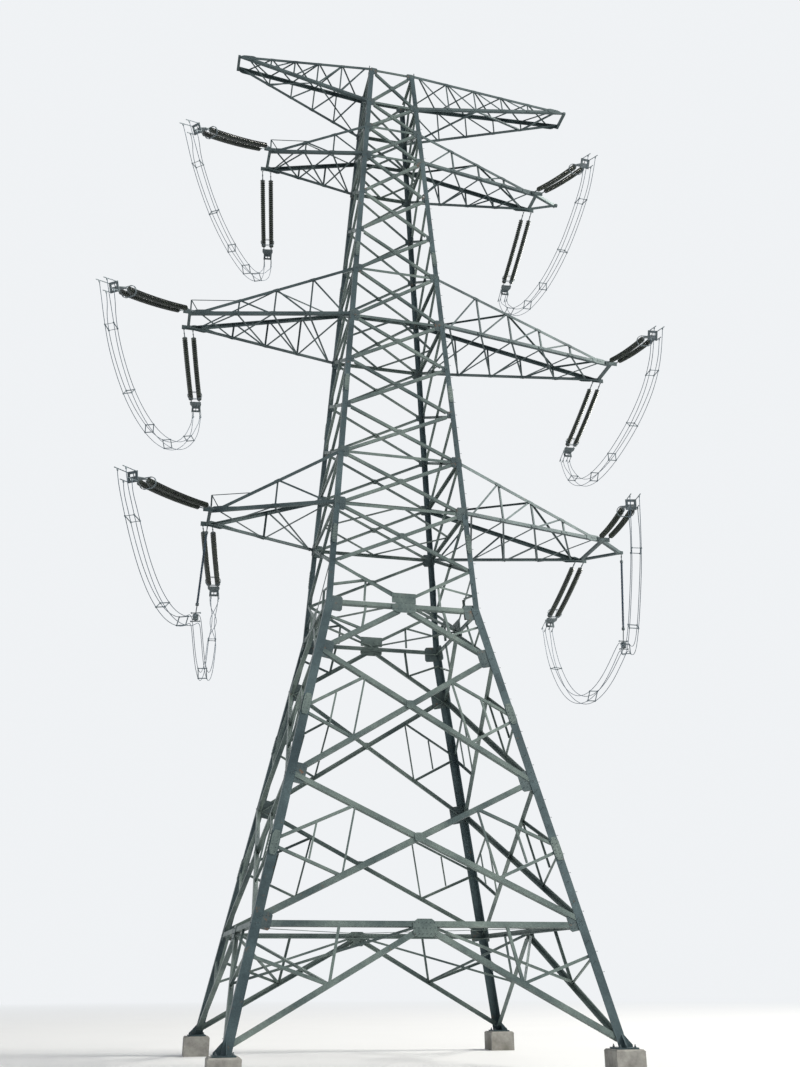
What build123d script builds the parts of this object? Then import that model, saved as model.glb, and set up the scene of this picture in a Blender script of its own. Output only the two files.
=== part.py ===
from build123d import *
import math
import os

os.makedirs("parts", exist_ok=True)

# Double-circuit strain tower of a transmission line, as a 1:20 model in millimetres.
# X runs along the crossarms, Y along the line and Z up from the ground.

# Heights above the feet of the legs.
girt_level = 232
first_cross_level = 540
second_cross_level = 840
waist_level = 975
shoulder_level = 1075
lower_arm_level = 1235
middle_arm_level = 1825
upper_arm_level = 2430
peak_level = 2800

# Half widths of the square body, measured to the heels of the legs.
foot_half = 404
waist_half = 191
peak_half = 72

# Depth of each crossarm where it leaves the body.
lower_arm_depth = 152
middle_arm_depth = 166
upper_arm_depth = 118
peak_arm_depth = 146

# Crossed panels in the body between one pair of crossarms and the next.
lower_panels = 3
middle_panels = 3

# Reach of each crossarm from the middle of the body, left and right.
lower_arm_left = 474
lower_arm_right = 591
middle_arm_left = 566
middle_arm_right = 678
upper_arm_left = 370
upper_arm_right = 480
peak_arm_left = 479
peak_arm_right = 600

# Half width of each crossarm at its tip, left and right.
lower_tip_left = 45
lower_tip_right = 78
middle_tip_left = 36
middle_tip_right = 47
upper_tip_left = 40
upper_tip_right = 37
peak_tip_left = 26
peak_tip_right = 32

# Angle sections of the legs: width of a flange and its thickness.
lower_leg_flange = 20
upper_leg_flange = 14
lower_leg_thick = 1.4
upper_leg_thick = 1.2

# Bracing of the body.
lower_brace_width = 11
upper_brace_width = 8
strut_width = 7
brace_thick = 1.0
lower_seat = 12.4
upper_seat = 8.7
girt_setback = 5
lower_girt_drop = 7.7
upper_girt_drop = 5.6
packing_width = 9
leg_strut_level = 172
gusset_drop = 26
gusset_rise = 10
girt_gusset_width = 50
waist_gusset_width = 60
brace_start = 16
hip_width = 5
hip_spread = 9
hip_drop = 4
seat_gap = 0.3

# Panels of lacing along each crossarm.
lower_left_panels = 2
lower_right_panels = 4
middle_left_panels = 4
middle_right_panels = 5
upper_left_panels = 3
upper_right_panels = 4
peak_arm_panels = 5

# Crossarms: flanges of the chords, lacing, and the stretch of the chords that is laced.
chord_flange = 9
chord_thick = 1.0
lacing_width = 5
lacing_thick = 0.8
lacing_inset = 2
lacing_first = 0.03
lacing_last = 0.93
shoe_thick = 2
shoe_width = 4.8
shoe_half_height = 10
shoe_inset = 0.2

# Post at the near corner of each left arm's tip, its brace, and the hand rail behind it.
post_height = 47
post_width = 4
post_thick = 2
post_inset = 2
post_brace_run = 28
rail_thick = 1.6

# Concrete piers and the base plates of the legs.
pier_height = 45
pier_width = 62
foot_plate_width = 44
foot_plate_thick = 3
foot_shift = 6
pier_chamfer = 3
rib_height = 24
rib_reach = 14
rib_edge = 4
rib_thick = 2

# Triangular brackets past the end beams of two right arms.
lower_bracket_reach = 90
upper_bracket_reach = 80

# End beams and the plates that the strings hang from.
beam_width = 8
hanger_width = 36
hanger_height = 12
hanger_thick = 3

# Insulator strings, in pairs that hold four wires each.
string_spacing = 25
disc_diameter = 15
link_length = 38
link_width = 3
stack_length = 265
stack_sides = 6
tail_length = 12
yoke_length = 30
yoke_thick = 2
bundle_spacing = 22.5
frame_thick = 2
upper_clamp_length = 56
lower_clamp_length = 34
clamp_width = 3
lower_lug = 20.75
support_link = 20
support_stack = 205
support_diameter = 7
weight_diameter = 15
weight_height = 15

# Wires of the jumpers, and how much of the shorter run beside a bend its arc takes up.
wire_diameter = 1.7
exit_length = 24
arc_share = 0.45

# Turn of each string from the Y axis towards +X, and its drop below level, in degrees.
near_lower_left = (-34, 10)
near_lower_right = (-13, 8)
near_middle_left = (-36, 22)
near_middle_right = (-6, 19)
near_upper_left = (-46, 28)
near_upper_right = (4, 25)
far_left = (8, 12)
far_right = (5, 14)

# Where the support strings hold the lower jumpers, above the feet of the legs.
held_left = (-488, 45, 979)
held_right = (664, 0, 967)

# Middle line of each jumper's four wires between their exits, above the feet of the legs.
lower_left_route = (
    (-661, -315, 1100), (-641, -270, 1048), (-618, -222, 1000), (-592, -168, 962), (-562, -110, 938),
    (-534, -55, 936), (-508, -3, 950), held_left, (-479, 94, 952), (-470, 144, 918),
    (-460, 200, 893), (-449, 258, 883), (-439, 314, 896), (-430, 362, 932), (-425, 394, 982),
    (-422, 412, 1036), (-422, 416, 1088),
)
lower_right_route = (
    (524, -408, 1112), (541, -362, 1056), (557, -312, 1006), (575, -258, 962), (595, -200, 932),
    (616, -142, 919), (636, -84, 924), (652, -36, 943), held_right, (662, 46, 938),
    (657, 98, 902), (651, 154, 877), (645, 212, 867), (639, 268, 875), (634, 320, 902),
    (630, 364, 944), (627, 400, 996), (624, 428, 1056),
)
middle_left_route = (
    (-757, -286, 1618), (-743, -241, 1574), (-724, -187, 1539), (-704, -127, 1515), (-682, -64, 1501),
    (-659, 2, 1496), (-636, 68, 1500), (-613, 132, 1512), (-590, 195, 1532), (-568, 256, 1561),
    (-548, 313, 1600), (-531, 362, 1646), (-520, 392, 1690),
)
middle_right_route = (
    (645, -374, 1640), (650, -322, 1600), (655, -264, 1576), (660, -200, 1558), (665, -134, 1547),
    (671, -66, 1541), (677, 4, 1538), (683, 74, 1540), (689, 144, 1548), (695, 210, 1562),
    (701, 276, 1586), (706, 338, 1622), (709, 384, 1668),
)
upper_left_route = (
    (-586, -228, 2200), (-564, -174, 2176), (-541, -116, 2160), (-516, -54, 2151), (-490, 8, 2148),
    (-463, 70, 2149), (-436, 132, 2157), (-410, 194, 2171), (-385, 254, 2192), (-361, 312, 2224),
    (-340, 360, 2262), (-327, 390, 2298),
)
upper_right_route = (
    (505, -338, 2218), (506, -286, 2190), (506, -228, 2164), (507, -166, 2145), (507, -102, 2134),
    (508, -36, 2130), (509, 30, 2133), (509, 96, 2142), (510, 160, 2156), (511, 222, 2177),
    (511, 282, 2206), (512, 336, 2242), (512, 378, 2284),
)

foot_level = pier_height + foot_plate_thick
upper_lug = lower_lug + bundle_spacing
peak_base = peak_level - peak_arm_depth

# Turns about the Z axis that bring the first corner or the front face to the others.
corners = {"front_left": 0, "front_right": 90, "back_right": 180, "back_left": 270}
faces = {"front": 0, "right": 90, "back": 180, "left": 270}


def half_width(level):
    if level <= waist_level:
        return foot_half + (waist_half - foot_half) * level / waist_level
    return waist_half + (peak_half - waist_half) * (level - waist_level) / (peak_level - waist_level)


def batter(level):
    if level < waist_level:
        return (foot_half - waist_half) / waist_level
    return (waist_half - peak_half) / (peak_level - waist_level)


def leg_thick(level):
    return lower_leg_thick if level < waist_level else upper_leg_thick


def front_normal(level):
    return Vector(0, -1, batter(level)).normalized()


def front_point(across, level):
    return Vector(across, -half_width(level), level + foot_level)


def leg_point(side, level, inset):
    """A point of the front face over one leg's flange, in from its heel."""
    return front_point(side * (half_width(level) - inset), level)


def inner_skin(level):
    """How far the inner side of a leg's flange lies from the face plane, along its normal."""
    return -leg_thick(level) / math.hypot(1, batter(level))


def between(one, other, share):
    return one + (other - one) * share


def block(start, end, normal, low, high, left, right):
    """A rectangular bar along start to end: low to high along the normal, left to right across it."""
    run = end - start
    place = Plane(origin=start, x_dir=normal, z_dir=run)
    middle = Pos((low + high) / 2, (left + right) / 2, run.length / 2)
    return place * middle * Box(high - low, right - left, run.length)


def rod(start, end, upright, width, height):
    """A bar centred on its line, so wide and so high."""
    return block(start, end, upright, -height / 2, height / 2, -width / 2, width / 2)


def strip(start, end, normal, surface, side, width, thick=brace_thick):
    """A flat bar laid on one side of a surface."""
    low, high = sorted((surface, surface + side * thick))
    return block(start, end, normal, low, high, -width / 2, width / 2)


def angle_bar(start, end, normal, surface, side, width, cope, edge):
    """A strip with a second flange that stands off one edge and stops short of both ends."""
    cut = (end - start).normalized() * cope
    low, high = sorted((surface + side * brace_thick, surface + side * width))
    left, right = sorted((edge * (width / 2 - brace_thick), edge * width / 2))
    flange = block(start + cut, end - cut, normal, low, high, left, right)
    return [strip(start, end, normal, surface, side, width), flange]


def joined(pieces):
    return pieces[0].fuse(*pieces[1:])


def packing(middle, level):
    """The filler between two bars on opposite sides of the legs' flanges."""
    half = packing_width / 2
    up = Vector(0, batter(level), 1).normalized() * half
    return block(middle - up, middle + up, front_normal(level), inner_skin(level), 0, -half, half)


def crossing_share(low, high, inset):
    """How far along its length a diagonal meets the other one."""
    wide, narrow = half_width(low) - inset, half_width(high) - inset
    return wide / (wide + narrow)


def lower_cross(low, high):
    """Two crossing angles, one inside the legs' flanges and one outside, with struts to the legs."""
    width, cope = lower_brace_width, lower_leg_flange
    normal, skin = front_normal(low), inner_skin(low)
    inside = leg_point(-1, low, lower_seat), leg_point(1, high, lower_seat)
    outside = leg_point(1, low, lower_seat), leg_point(-1, high, lower_seat)
    pieces = angle_bar(*inside, normal, skin, -1, width, cope, -1)
    pieces += angle_bar(*outside, normal, 0, 1, width, cope, -1)
    share = crossing_share(low, high, lower_seat)
    pieces.append(packing(between(*inside, share), low))
    for line, side in ((inside, -1), (outside, 1)):
        for hand, place in ((side, share / 2), (-side, (1 + share) / 2)):
            meeting = between(*line, place)
            seat = leg_point(hand, (low + high) / 2, lower_seat)
            pieces.append(strip(meeting, seat, normal, skin, -1, strut_width))
            if line is outside:
                pieces.append(packing(meeting, low))
    return pieces


def upper_cross(low, high):
    """Two crossing flats in one layer on the inner side of the legs' flanges."""
    normal, skin = front_normal(low), inner_skin(low)
    pieces = []
    for side in (-1, 1):
        foot, head = leg_point(side, low, upper_seat), leg_point(-side, high, upper_seat)
        pieces.append(strip(foot, head, normal, skin, -1, upper_brace_width))
    return pieces


def girt(level, width, flange):
    """A horizontal angle between two legs, on the inner side of their flanges."""
    normal, skin = front_normal(level), inner_skin(level)
    ends = leg_point(-1, level, girt_setback), leg_point(1, level, girt_setback)
    return angle_bar(*ends, normal, skin, -1, width, flange, -1)


def gusset(low, high, width):
    """A plate in the middle of the front face, between the flanges' inner and outer sides."""
    ends = front_point(0, low), front_point(0, high)
    return block(*ends, front_normal(low), inner_skin(low), 0, -width / 2, width / 2)


def base_brace(side):
    """The big brace from one foot to the middle of the girt."""
    foot = leg_point(side, brace_start, lower_seat)
    head = front_point(side * lower_brace_width, girt_level - lower_brace_width)
    return foot, head


def lower_face():
    """The front face below the waist."""
    width, flange = lower_brace_width, lower_leg_flange
    normal, skin = front_normal(0), inner_skin(0)
    waist_girt = waist_level - lower_girt_drop
    pieces = girt(girt_level, width, flange) + girt(waist_girt, width, flange)
    pieces.append(gusset(girt_level - gusset_drop, girt_level + gusset_rise, girt_gusset_width))
    pieces.append(gusset(waist_level - gusset_drop, waist_level, waist_gusset_width))
    pieces += lower_cross(girt_level + width, first_cross_level)
    pieces += lower_cross(first_cross_level, second_cross_level)
    for side in (-1, 1):
        foot, head = base_brace(side)
        pieces += angle_bar(foot, head, normal, skin, -1, width, flange, -side)
        middle = between(foot, head, 0.5)
        quarter = front_point(side * half_width(girt_level) / 2, girt_level)
        seat = leg_point(side, leg_strut_level, lower_seat)
        pieces.append(strip(middle, quarter, normal, skin, -1, strut_width))
        pieces.append(strip(middle, seat, normal, skin, -1, strut_width))
        foot = leg_point(side, second_cross_level, lower_seat)
        head = front_point(side * width, waist_girt - width)
        pieces += angle_bar(foot, head, normal, skin, -1, width, flange, -side)
    return joined(pieces)


def arm_levels():
    """The levels above the waist where a crossarm meets the body."""
    levels = []
    for level, depth in (
        (lower_arm_level, lower_arm_depth),
        (middle_arm_level, middle_arm_depth),
        (upper_arm_level, upper_arm_depth),
    ):
        levels += [level, level + depth]
    return levels


def upper_levels():
    """The levels of the legs where the crossed panels above the shoulder begin and end."""
    low, low_top, middle, middle_top, high, high_top = arm_levels()
    levels = [shoulder_level, low]
    levels += [between(low_top, middle, count / lower_panels) for count in range(lower_panels + 1)]
    levels += [between(middle_top, high, count / middle_panels) for count in range(middle_panels + 1)]
    return levels + [high_top, peak_base, peak_level - upper_brace_width]


def upper_face():
    """The front face above the waist."""
    width, flange = upper_brace_width, upper_leg_flange
    normal, skin = front_normal(peak_level), inner_skin(peak_level)
    pieces = [gusset(waist_level, waist_level + gusset_drop, waist_gusset_width)]
    for side in (-1, 1):
        foot = front_point(side * width, waist_level + width)
        head = leg_point(side, shoulder_level, upper_seat)
        pieces.append(strip(foot, head, normal, skin, -1, width))
    levels = upper_levels()
    for low, high in zip(levels, levels[1:]):
        pieces += upper_cross(low, high)
    for level in arm_levels() + [peak_base, peak_level - upper_girt_drop]:
        pieces += girt(level, width, flange)
    return joined(pieces)


def leg_length(low, high, flange, thick):
    """The leg's angle section between two levels, heel outward, in the corner at -X and -Y."""
    outer = half_width(low)
    corner = Vector(-outer, -outer, low + foot_level)
    outline = Polyline(
        corner,
        corner + Vector(flange, 0, 0),
        corner + Vector(flange, thick, 0),
        corner + Vector(thick, thick, 0),
        corner + Vector(thick, flange, 0),
        corner + Vector(0, flange, 0),
        close=True,
    )
    inner = half_width(high)
    climb = Vector(outer - inner, outer - inner, high - low)
    return extrude(make_face(outline), amount=climb.length, dir=climb)


def pier_place(level):
    centre = foot_shift - foot_half
    return Pos(centre, centre, level)


def foot_rib():
    """The rib that stands on the foot plate outside the flange along X."""
    lean = batter(0)
    outline = Polyline(
        Vector(0, leg_thick(0) / 2, 0),
        Vector(0, -rib_reach, 0),
        Vector(0, -rib_reach, rib_edge),
        Vector(0, lean * rib_height, rib_height),
        Vector(0, lean * rib_height + leg_thick(0) / 2, rib_height),
        close=True,
    )
    rib = extrude(make_face(outline), amount=rib_thick / 2, dir=Vector(1, 0, 0), both=True)
    return Pos(lower_leg_flange / 2 - foot_half, -foot_half, foot_level) * rib


def leg():
    plate = Box(foot_plate_width, foot_plate_width, foot_plate_thick)
    pieces = [pier_place(foot_level - foot_plate_thick / 2) * plate]
    pieces += [foot_rib(), mirror(foot_rib(), about=Plane(origin=(0, 0, 0), z_dir=(1, -1, 0)))]
    pieces.append(leg_length(0, waist_level, lower_leg_flange, lower_leg_thick))
    pieces.append(leg_length(waist_level, peak_level, upper_leg_flange, upper_leg_thick))
    return joined(pieces)


def pier():
    shaft = Box(pier_width, pier_width, pier_height)
    top = shaft.faces().sort_by(Axis.Z)[-1]
    return pier_place(pier_height / 2) * chamfer(top.edges(), length=pier_chamfer)


def inner_plane(side):
    """The plane just inside the base's bracing, of the front face (0) or of the left or right one."""
    normal = front_normal(0)
    if side:
        normal = Vector(side * -normal.Y, 0, normal.Z)
    heel = Vector(normal.X, normal.Y, 0).normalized() * foot_half + Vector(0, 0, foot_level)
    return Plane(origin=heel + normal * (inner_skin(0) - brace_thick - seat_gap), z_dir=-normal)


def hip_bars():
    """Bars in the base, each from the middle of a big brace to the next face's girt."""
    bars = []
    for side in (-1, 1):
        start = between(*base_brace(side), 0.5)
        level = girt_level - hip_drop
        end = Vector(side * half_width(level), -hip_spread, level + foot_level)
        bar = rod(start, end, Vector(0, 0, 1), hip_width, hip_width)
        for facing in (0, side):
            bar = split(bar, bisect_by=inner_plane(facing), keep=Keep.TOP)
        bars += [Rot(0, 0, turn) * bar for turn in faces.values()]
    return bars


def plan_ring(level, width):
    """Four flats that lie on the girts at one level and brace the body square."""
    up = Vector(0, batter(level), 1).normalized()
    rest = up.Z * width / 2 + front_normal(level).Z * inner_skin(level) + seat_gap
    out = half_width(level + rest + brace_thick) - leg_thick(level) - seat_gap
    height = level + rest + foot_level
    front, right = Vector(0, -out, height), Vector(out, 0, height)
    cut = (right - front).normalized() * (width + seat_gap) / 2
    bar = block(front + cut, right - cut, Vector(0, 0, 1), 0, brace_thick, -width / 2, width / 2)
    return [Rot(0, 0, turn) * bar for turn in faces.values()]


def angle_chord(start, end, first, second):
    """An angle section with its heel from start to end and its flanges towards first and second."""
    flange, thick = chord_flange, chord_thick
    run = end - start
    axis = run.normalized()
    one = (first - axis * first.dot(axis)).normalized()
    two = (second - axis * second.dot(axis)).normalized()
    inner = (one + two) * (thick / one.cross(two).length)
    off_one = (two - one * two.dot(one)).normalized() * thick
    off_two = (one - two * one.dot(two)).normalized() * thick
    outline = Polyline(
        start,
        start + one * flange,
        start + one * flange + off_one,
        start + inner,
        start + two * flange + off_two,
        start + two * flange,
        close=True,
    )
    return extrude(make_face(outline), amount=run.length, dir=axis)


def face_plane(side, out):
    """The body's outer face on one side, moved out by out."""
    normal = Vector(side, 0, batter(peak_level)).normalized()
    heel = Vector(side * half_width(peak_level), 0, peak_level + foot_level)
    return Plane(origin=heel + normal * out, z_dir=normal)


def shoe_plate(side, face, root):
    """The plate that bolts a chord to the leg's outer flange."""
    lean = batter(peak_level)
    normal = Vector(side, 0, lean).normalized()
    up = Vector(-side * lean, -face * lean, 1) * shoe_half_height
    middle = root + Vector(0, -face, 0) * (shoe_inset + shoe_width / 2)
    return block(middle - up, middle + up, normal, 0, shoe_thick, -shoe_width / 2, shoe_width / 2)


def lace(start, end, normal):
    """A lacing bar on the inner side of the chords' flanges."""
    return strip(start, end, normal, chord_thick, 1, lacing_width, lacing_thick)


def laced_side(one, other, normal, panels, crossed=False, inset=0):
    """Diagonals between two chords, each given by its root and its tip."""
    pieces = []
    step = Vector(0, inset, 0)
    laced = lacing_last - lacing_first
    shares = [lacing_first + laced * count / panels for count in range(panels + 1)]
    for share, after in zip(shares, shares[1:]):
        pieces.append(lace(between(*one, share) + step, between(*other, after) - step, normal))
        if crossed:
            pieces.append(lace(between(*one, after) + step, between(*other, share) - step, normal))
    return pieces


def towards(normal, goal):
    return normal if normal.dot(goal) > 0 else -normal


def crossarm(side, level, depth, reach, tip_half, panels, bracket=0, level_top=False, post=False):
    """A tapering box truss. A conductor arm has a level bottom, the arm at the peak a level top."""
    rise = Vector(0, 0, -1 if level_top else 1)
    flat_level = level + depth if level_top else level
    slant_level = level if level_top else level + depth
    pieces, flat, slant = [], {}, {}
    for face in (-1, 1):
        tip = Vector(side * reach, face * tip_half, flat_level + foot_level)
        roots = []
        for root_level in (flat_level, slant_level):
            half = half_width(root_level)
            roots.append(Vector(side * half, face * half, root_level + foot_level))
        slope = roots[1] - roots[0]
        for root, second in zip(roots, (slope, -slope)):
            start = root - (tip - root).normalized() * chord_flange
            chord = angle_chord(start, tip, Vector(0, -face, 0), second)
            chord = split(chord, bisect_by=Plane(origin=tip, z_dir=rise), keep=Keep.TOP)
            pieces.append(split(chord, bisect_by=face_plane(side, shoe_thick), keep=Keep.TOP))
            pieces.append(shoe_plate(side, face, root))
        flat[face], slant[face] = (roots[0], tip), (roots[1], tip)
        upright = towards((tip - roots[0]).cross(tip - roots[1]).normalized(), Vector(0, -face, 0))
        pieces += laced_side(flat[face], slant[face], upright, panels)
    pieces += laced_side(flat[-1], flat[1], rise, panels, crossed=True, inset=lacing_inset)
    pieces += arm_end(side, reach, tip_half, flat_level + foot_level, rise)
    if bracket:
        pieces += end_bracket(side, reach, tip_half, flat_level + foot_level, bracket)
    if post:
        pieces += hand_post(side, flat[-1], slant[-1], depth)
    return joined(pieces)


def hand_post(side, flat, slant, depth):
    """A braced post on the near flat chord's tip, and the rail from its head to the slant chord."""
    tip = flat[1]
    inward = Vector(0, post_inset, 0)
    foot = tip + Vector(-side * post_inset, 0, 0) + inward
    head = foot + Vector(0, 0, post_height)
    run = (flat[0] - tip).length
    brace_foot = between(tip, flat[0], post_brace_run / run) + inward
    rail_end = between(tip, slant[0], post_height / depth) + inward
    outward = Vector(0, 1, 0)
    return [
        rod(foot, head, outward, post_width, post_thick),
        rod(brace_foot, head, outward, post_thick, post_thick),
        rod(rail_end, head, outward, rail_thick, rail_thick),
    ]


def arm_end(side, reach, tip_half, height, rise):
    """The end beam, and on a conductor arm the plates that its strings hang from."""
    middle = height + rise.Z * beam_width / 2
    length = 2 * (tip_half + hanger_thick)
    pieces = [Pos(side * reach, 0, middle) * Box(beam_width, length, beam_width)]
    if rise.Z > 0:
        plate = Box(hanger_width, hanger_thick, hanger_height)
        for face in (-1, 1):
            centre = tip_half + hanger_thick + hanger_thick / 2
            pieces.append(Pos(side * reach, face * centre, middle) * plate)
    return pieces


def end_bracket(side, reach, tip_half, height, bracket):
    """A triangle past the end beam that carries a jumper's support."""
    point = Vector(side * (reach + bracket), 0, height)
    pieces = []
    for face in (-1, 1):
        root = Vector(side * reach, face * tip_half, height)
        pieces.append(angle_chord(root, point, Vector(0, -face, 0), Vector(0, 0, 1)))
    pieces.append(Pos(point + Vector(0, 0, beam_width / 2)) * Box(beam_width, beam_width, beam_width))
    return pieces


def stack(start, end, diameter):
    """The outer form of an insulator, across its sheds."""
    run = end - start
    outline = Plane(origin=start, z_dir=run) * RegularPolygon(diameter / 2, stack_sides)
    return extrude(outline, amount=run.length, dir=run)


def string_lines(side, reach, tip_half, level, face, aim):
    """The directions of a pair of strings, its anchor on the hanger plate and the clamps' frame."""
    turn, drop = (math.radians(angle) for angle in aim)
    level_part = Vector(math.sin(turn), face * math.cos(turn), 0)
    along = level_part * math.cos(drop) - Vector(0, 0, math.sin(drop))
    above = level_part * math.sin(drop) + Vector(0, 0, math.cos(drop))
    across = Vector(math.cos(turn), -face * math.sin(turn), 0)
    outer_side = face * (tip_half + 2 * hanger_thick)
    anchor = Vector(side * reach, outer_side, level + foot_level + beam_width / 2)
    frame = anchor + along * (link_length + stack_length + tail_length + yoke_length)
    return along, across, above, anchor, frame


def exits_middle(lines):
    """The middle of the four straight starts of a jumper's wires."""
    along, _, above, _, frame = lines
    return frame + along * (lower_lug + upper_lug) / 2 - above * (exit_length + clamp_width / 2)


def tension_pair(sizes, face, aim):
    """Two strings side by side from a hanger plate to a yoke, and the four clamps beyond it."""
    along, across, above, anchor, frame = string_lines(*sizes, face, aim)
    pieces = []
    for hand in (-0.5, 0.5):
        hole = anchor + Vector(hand * string_spacing, 0, 0)
        begin = anchor + along * link_length + across * (hand * string_spacing)
        finish = begin + along * stack_length
        shift = begin + along - hole
        outline = Plane(origin=hole, x_dir=Vector(1, 0, 0), z_dir=Vector(0, face, 0))
        link = outline * Rectangle(link_width, link_width)
        pieces.append(extrude(link, amount=shift.length, dir=shift))
        pieces.append(stack(begin, finish, disc_diameter))
        pieces.append(rod(finish, finish + along * tail_length, across, link_width, link_width))
    yoke_width = string_spacing + 2 * link_width
    pieces.append(rod(frame - along * yoke_length, frame, above, yoke_width, yoke_thick))
    frame_width = bundle_spacing + clamp_width
    pieces.append(rod(frame, frame + along * frame_thick, above, frame_width, frame_width))
    for right in (-0.5, 0.5):
        for up, length in ((-0.5, lower_clamp_length), (0.5, upper_clamp_length)):
            start = frame + across * (right * bundle_spacing) + above * (up * bundle_spacing)
            pieces.append(rod(start, start + along * length, above, clamp_width, clamp_width))
    return joined(pieces)


def exits(lines, right, up):
    """Where a jumper's wire leaves the lower side of its clamp, and the end of its straight start."""
    along, across, above, _, frame = lines
    reach = upper_lug if up > 0 else lower_lug
    shift = across * (right * bundle_spacing) + above * (up * bundle_spacing - clamp_width / 2)
    start = frame + along * reach + shift
    return start, start - above * exit_length


def sideways(tangent):
    """The level direction towards +X at right angles to a jumper."""
    return tangent.cross(Vector(0, 0, 1)).normalized()


def wire_points(near_lines, route, far_lines, right, up):
    """The corners of one wire's line: the middle line moved sideways and out of its loop."""
    starts, stops = exits(near_lines, right, up), exits(far_lines, right, up)
    middle = [Vector(*point) + Vector(0, 0, foot_level) for point in route]
    middle = [exits_middle(near_lines), *middle, exits_middle(far_lines)]
    points = [*starts]
    for before, here, after in zip(middle, middle[1:], middle[2:]):
        tangent = (after - before).normalized()
        side = sideways(tangent)
        points.append(here + (side * right + tangent.cross(side) * up) * bundle_spacing)
    return points + [stops[1], stops[0]]


def wire(name, points):
    """A straight-sided wire along runs and tangent arcs, as large as the shorter run allows."""
    runs = [end - start for start, end in zip(points, points[1:])]
    radii = []
    for one, other in zip(runs, runs[1:]):
        half_turn = math.radians(one.get_angle(other)) / 2
        radii.append(arc_share * min(one.length, other.length) / math.tan(half_turn))
    path = FilletPolyline(*points, radius=radii)
    section = Plane(origin=path @ 0, z_dir=path % 0) * Rectangle(wire_diameter, wire_diameter)
    solid = sweep(section, path=path)
    fill = solid.volume / (path.length * wire_diameter**2)
    longest = max(run.length for run in runs)
    print(f"{name}: {path.length:.1f} mm, longest run {longest:.0f}")
    print(f"  volume {fill:.3f} of section times length")
    print("  radii", *(round(radius) for radius in radii))
    return solid


def jumper(name, near_lines, route, far_lines):
    """Four wires from the near clamps to the far ones; the upper clamps hold the outer wires."""
    wires = []
    for right in (-0.5, 0.5):
        for up in (-0.5, 0.5):
            wires.append(wire(name, wire_points(near_lines, route, far_lines, right, up)))
    return Compound(children=wires)


def support_string(top, held, side):
    """A slender insulator from the arm to a weight, and the grips that hold a jumper's four wires."""
    weight = Vector(*held) + Vector(0, 0, foot_level)
    down = (weight - top).normalized()
    start = top + down * seat_gap
    begin = start + down * support_link
    finish = begin + down * support_stack
    grip = bundle_spacing / 2
    length = bundle_spacing - wire_diameter - 2 * seat_gap
    up = Vector(0, 0, 1)
    pieces = [rod(start, begin + down, side, link_width, link_width)]
    pieces.append(stack(begin, finish, support_diameter))
    pieces.append(rod(finish, weight + up * grip, side, link_width, link_width))
    stem_end = weight - up * (grip + link_width / 2)
    pieces.append(rod(stem_end, weight + up * grip, side, link_width, link_width))
    underside = Plane(origin=weight - up * weight_height / 2)
    body = underside * RegularPolygon(weight_diameter / 2, stack_sides)
    pieces.append(extrude(body, amount=weight_height))
    for height in (-grip, grip):
        middle = weight + up * height
        half = side * (length / 2)
        pieces.append(rod(middle - half, middle + half, up, link_width, link_width))
    return joined(pieces)


def save(name, shape):
    export_step(shape, f"parts/{name}.step")


one_leg = leg()
one_pier = pier()
for name, turn in corners.items():
    save(f"leg_{name}", Rot(0, 0, turn) * one_leg)
    save(f"pier_{name}", Rot(0, 0, turn) * one_pier)

lower_bracing = lower_face()
upper_bracing = upper_face()
for name, turn in faces.items():
    save(f"lower_bracing_{name}", Rot(0, 0, turn) * lower_bracing)
    save(f"upper_bracing_{name}", Rot(0, 0, turn) * upper_bracing)
save("hip_bracing", Compound(children=hip_bars()))

plan_bars = plan_ring(girt_level, lower_brace_width)
plan_bars += plan_ring(waist_level - lower_girt_drop, lower_brace_width)
for level in (lower_arm_level, middle_arm_level, upper_arm_level):
    plan_bars += plan_ring(level, upper_brace_width)
save("plan_bracing", Compound(children=plan_bars))

# Level and depth of each row of arms.
rows = {
    "lower": (lower_arm_level, lower_arm_depth),
    "middle": (middle_arm_level, middle_arm_depth),
    "upper": (upper_arm_level, upper_arm_depth),
    "peak": (peak_base, peak_arm_depth),
}
hands = {"left": -1, "right": 1}

# Reach, half width at the tip, panels and bracket of each arm.
arms = {
    ("lower", "left"): (lower_arm_left, lower_tip_left, lower_left_panels, 0),
    ("lower", "right"): (lower_arm_right, lower_tip_right, lower_right_panels, lower_bracket_reach),
    ("middle", "left"): (middle_arm_left, middle_tip_left, middle_left_panels, 0),
    ("middle", "right"): (middle_arm_right, middle_tip_right, middle_right_panels, 0),
    ("upper", "left"): (upper_arm_left, upper_tip_left, upper_left_panels, 0),
    ("upper", "right"): (upper_arm_right, upper_tip_right, upper_right_panels, upper_bracket_reach),
    ("peak", "left"): (peak_arm_left, peak_tip_left, peak_arm_panels, 0),
    ("peak", "right"): (peak_arm_right, peak_tip_right, peak_arm_panels, 0),
}
for (row, hand), sizes in arms.items():
    at_peak = row == "peak"
    with_post = hand == "left" and not at_peak
    arm = crossarm(hands[hand], *rows[row], *sizes, level_top=at_peak, post=with_post)
    save(f"{row}_arm_{hand}", arm)

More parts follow.
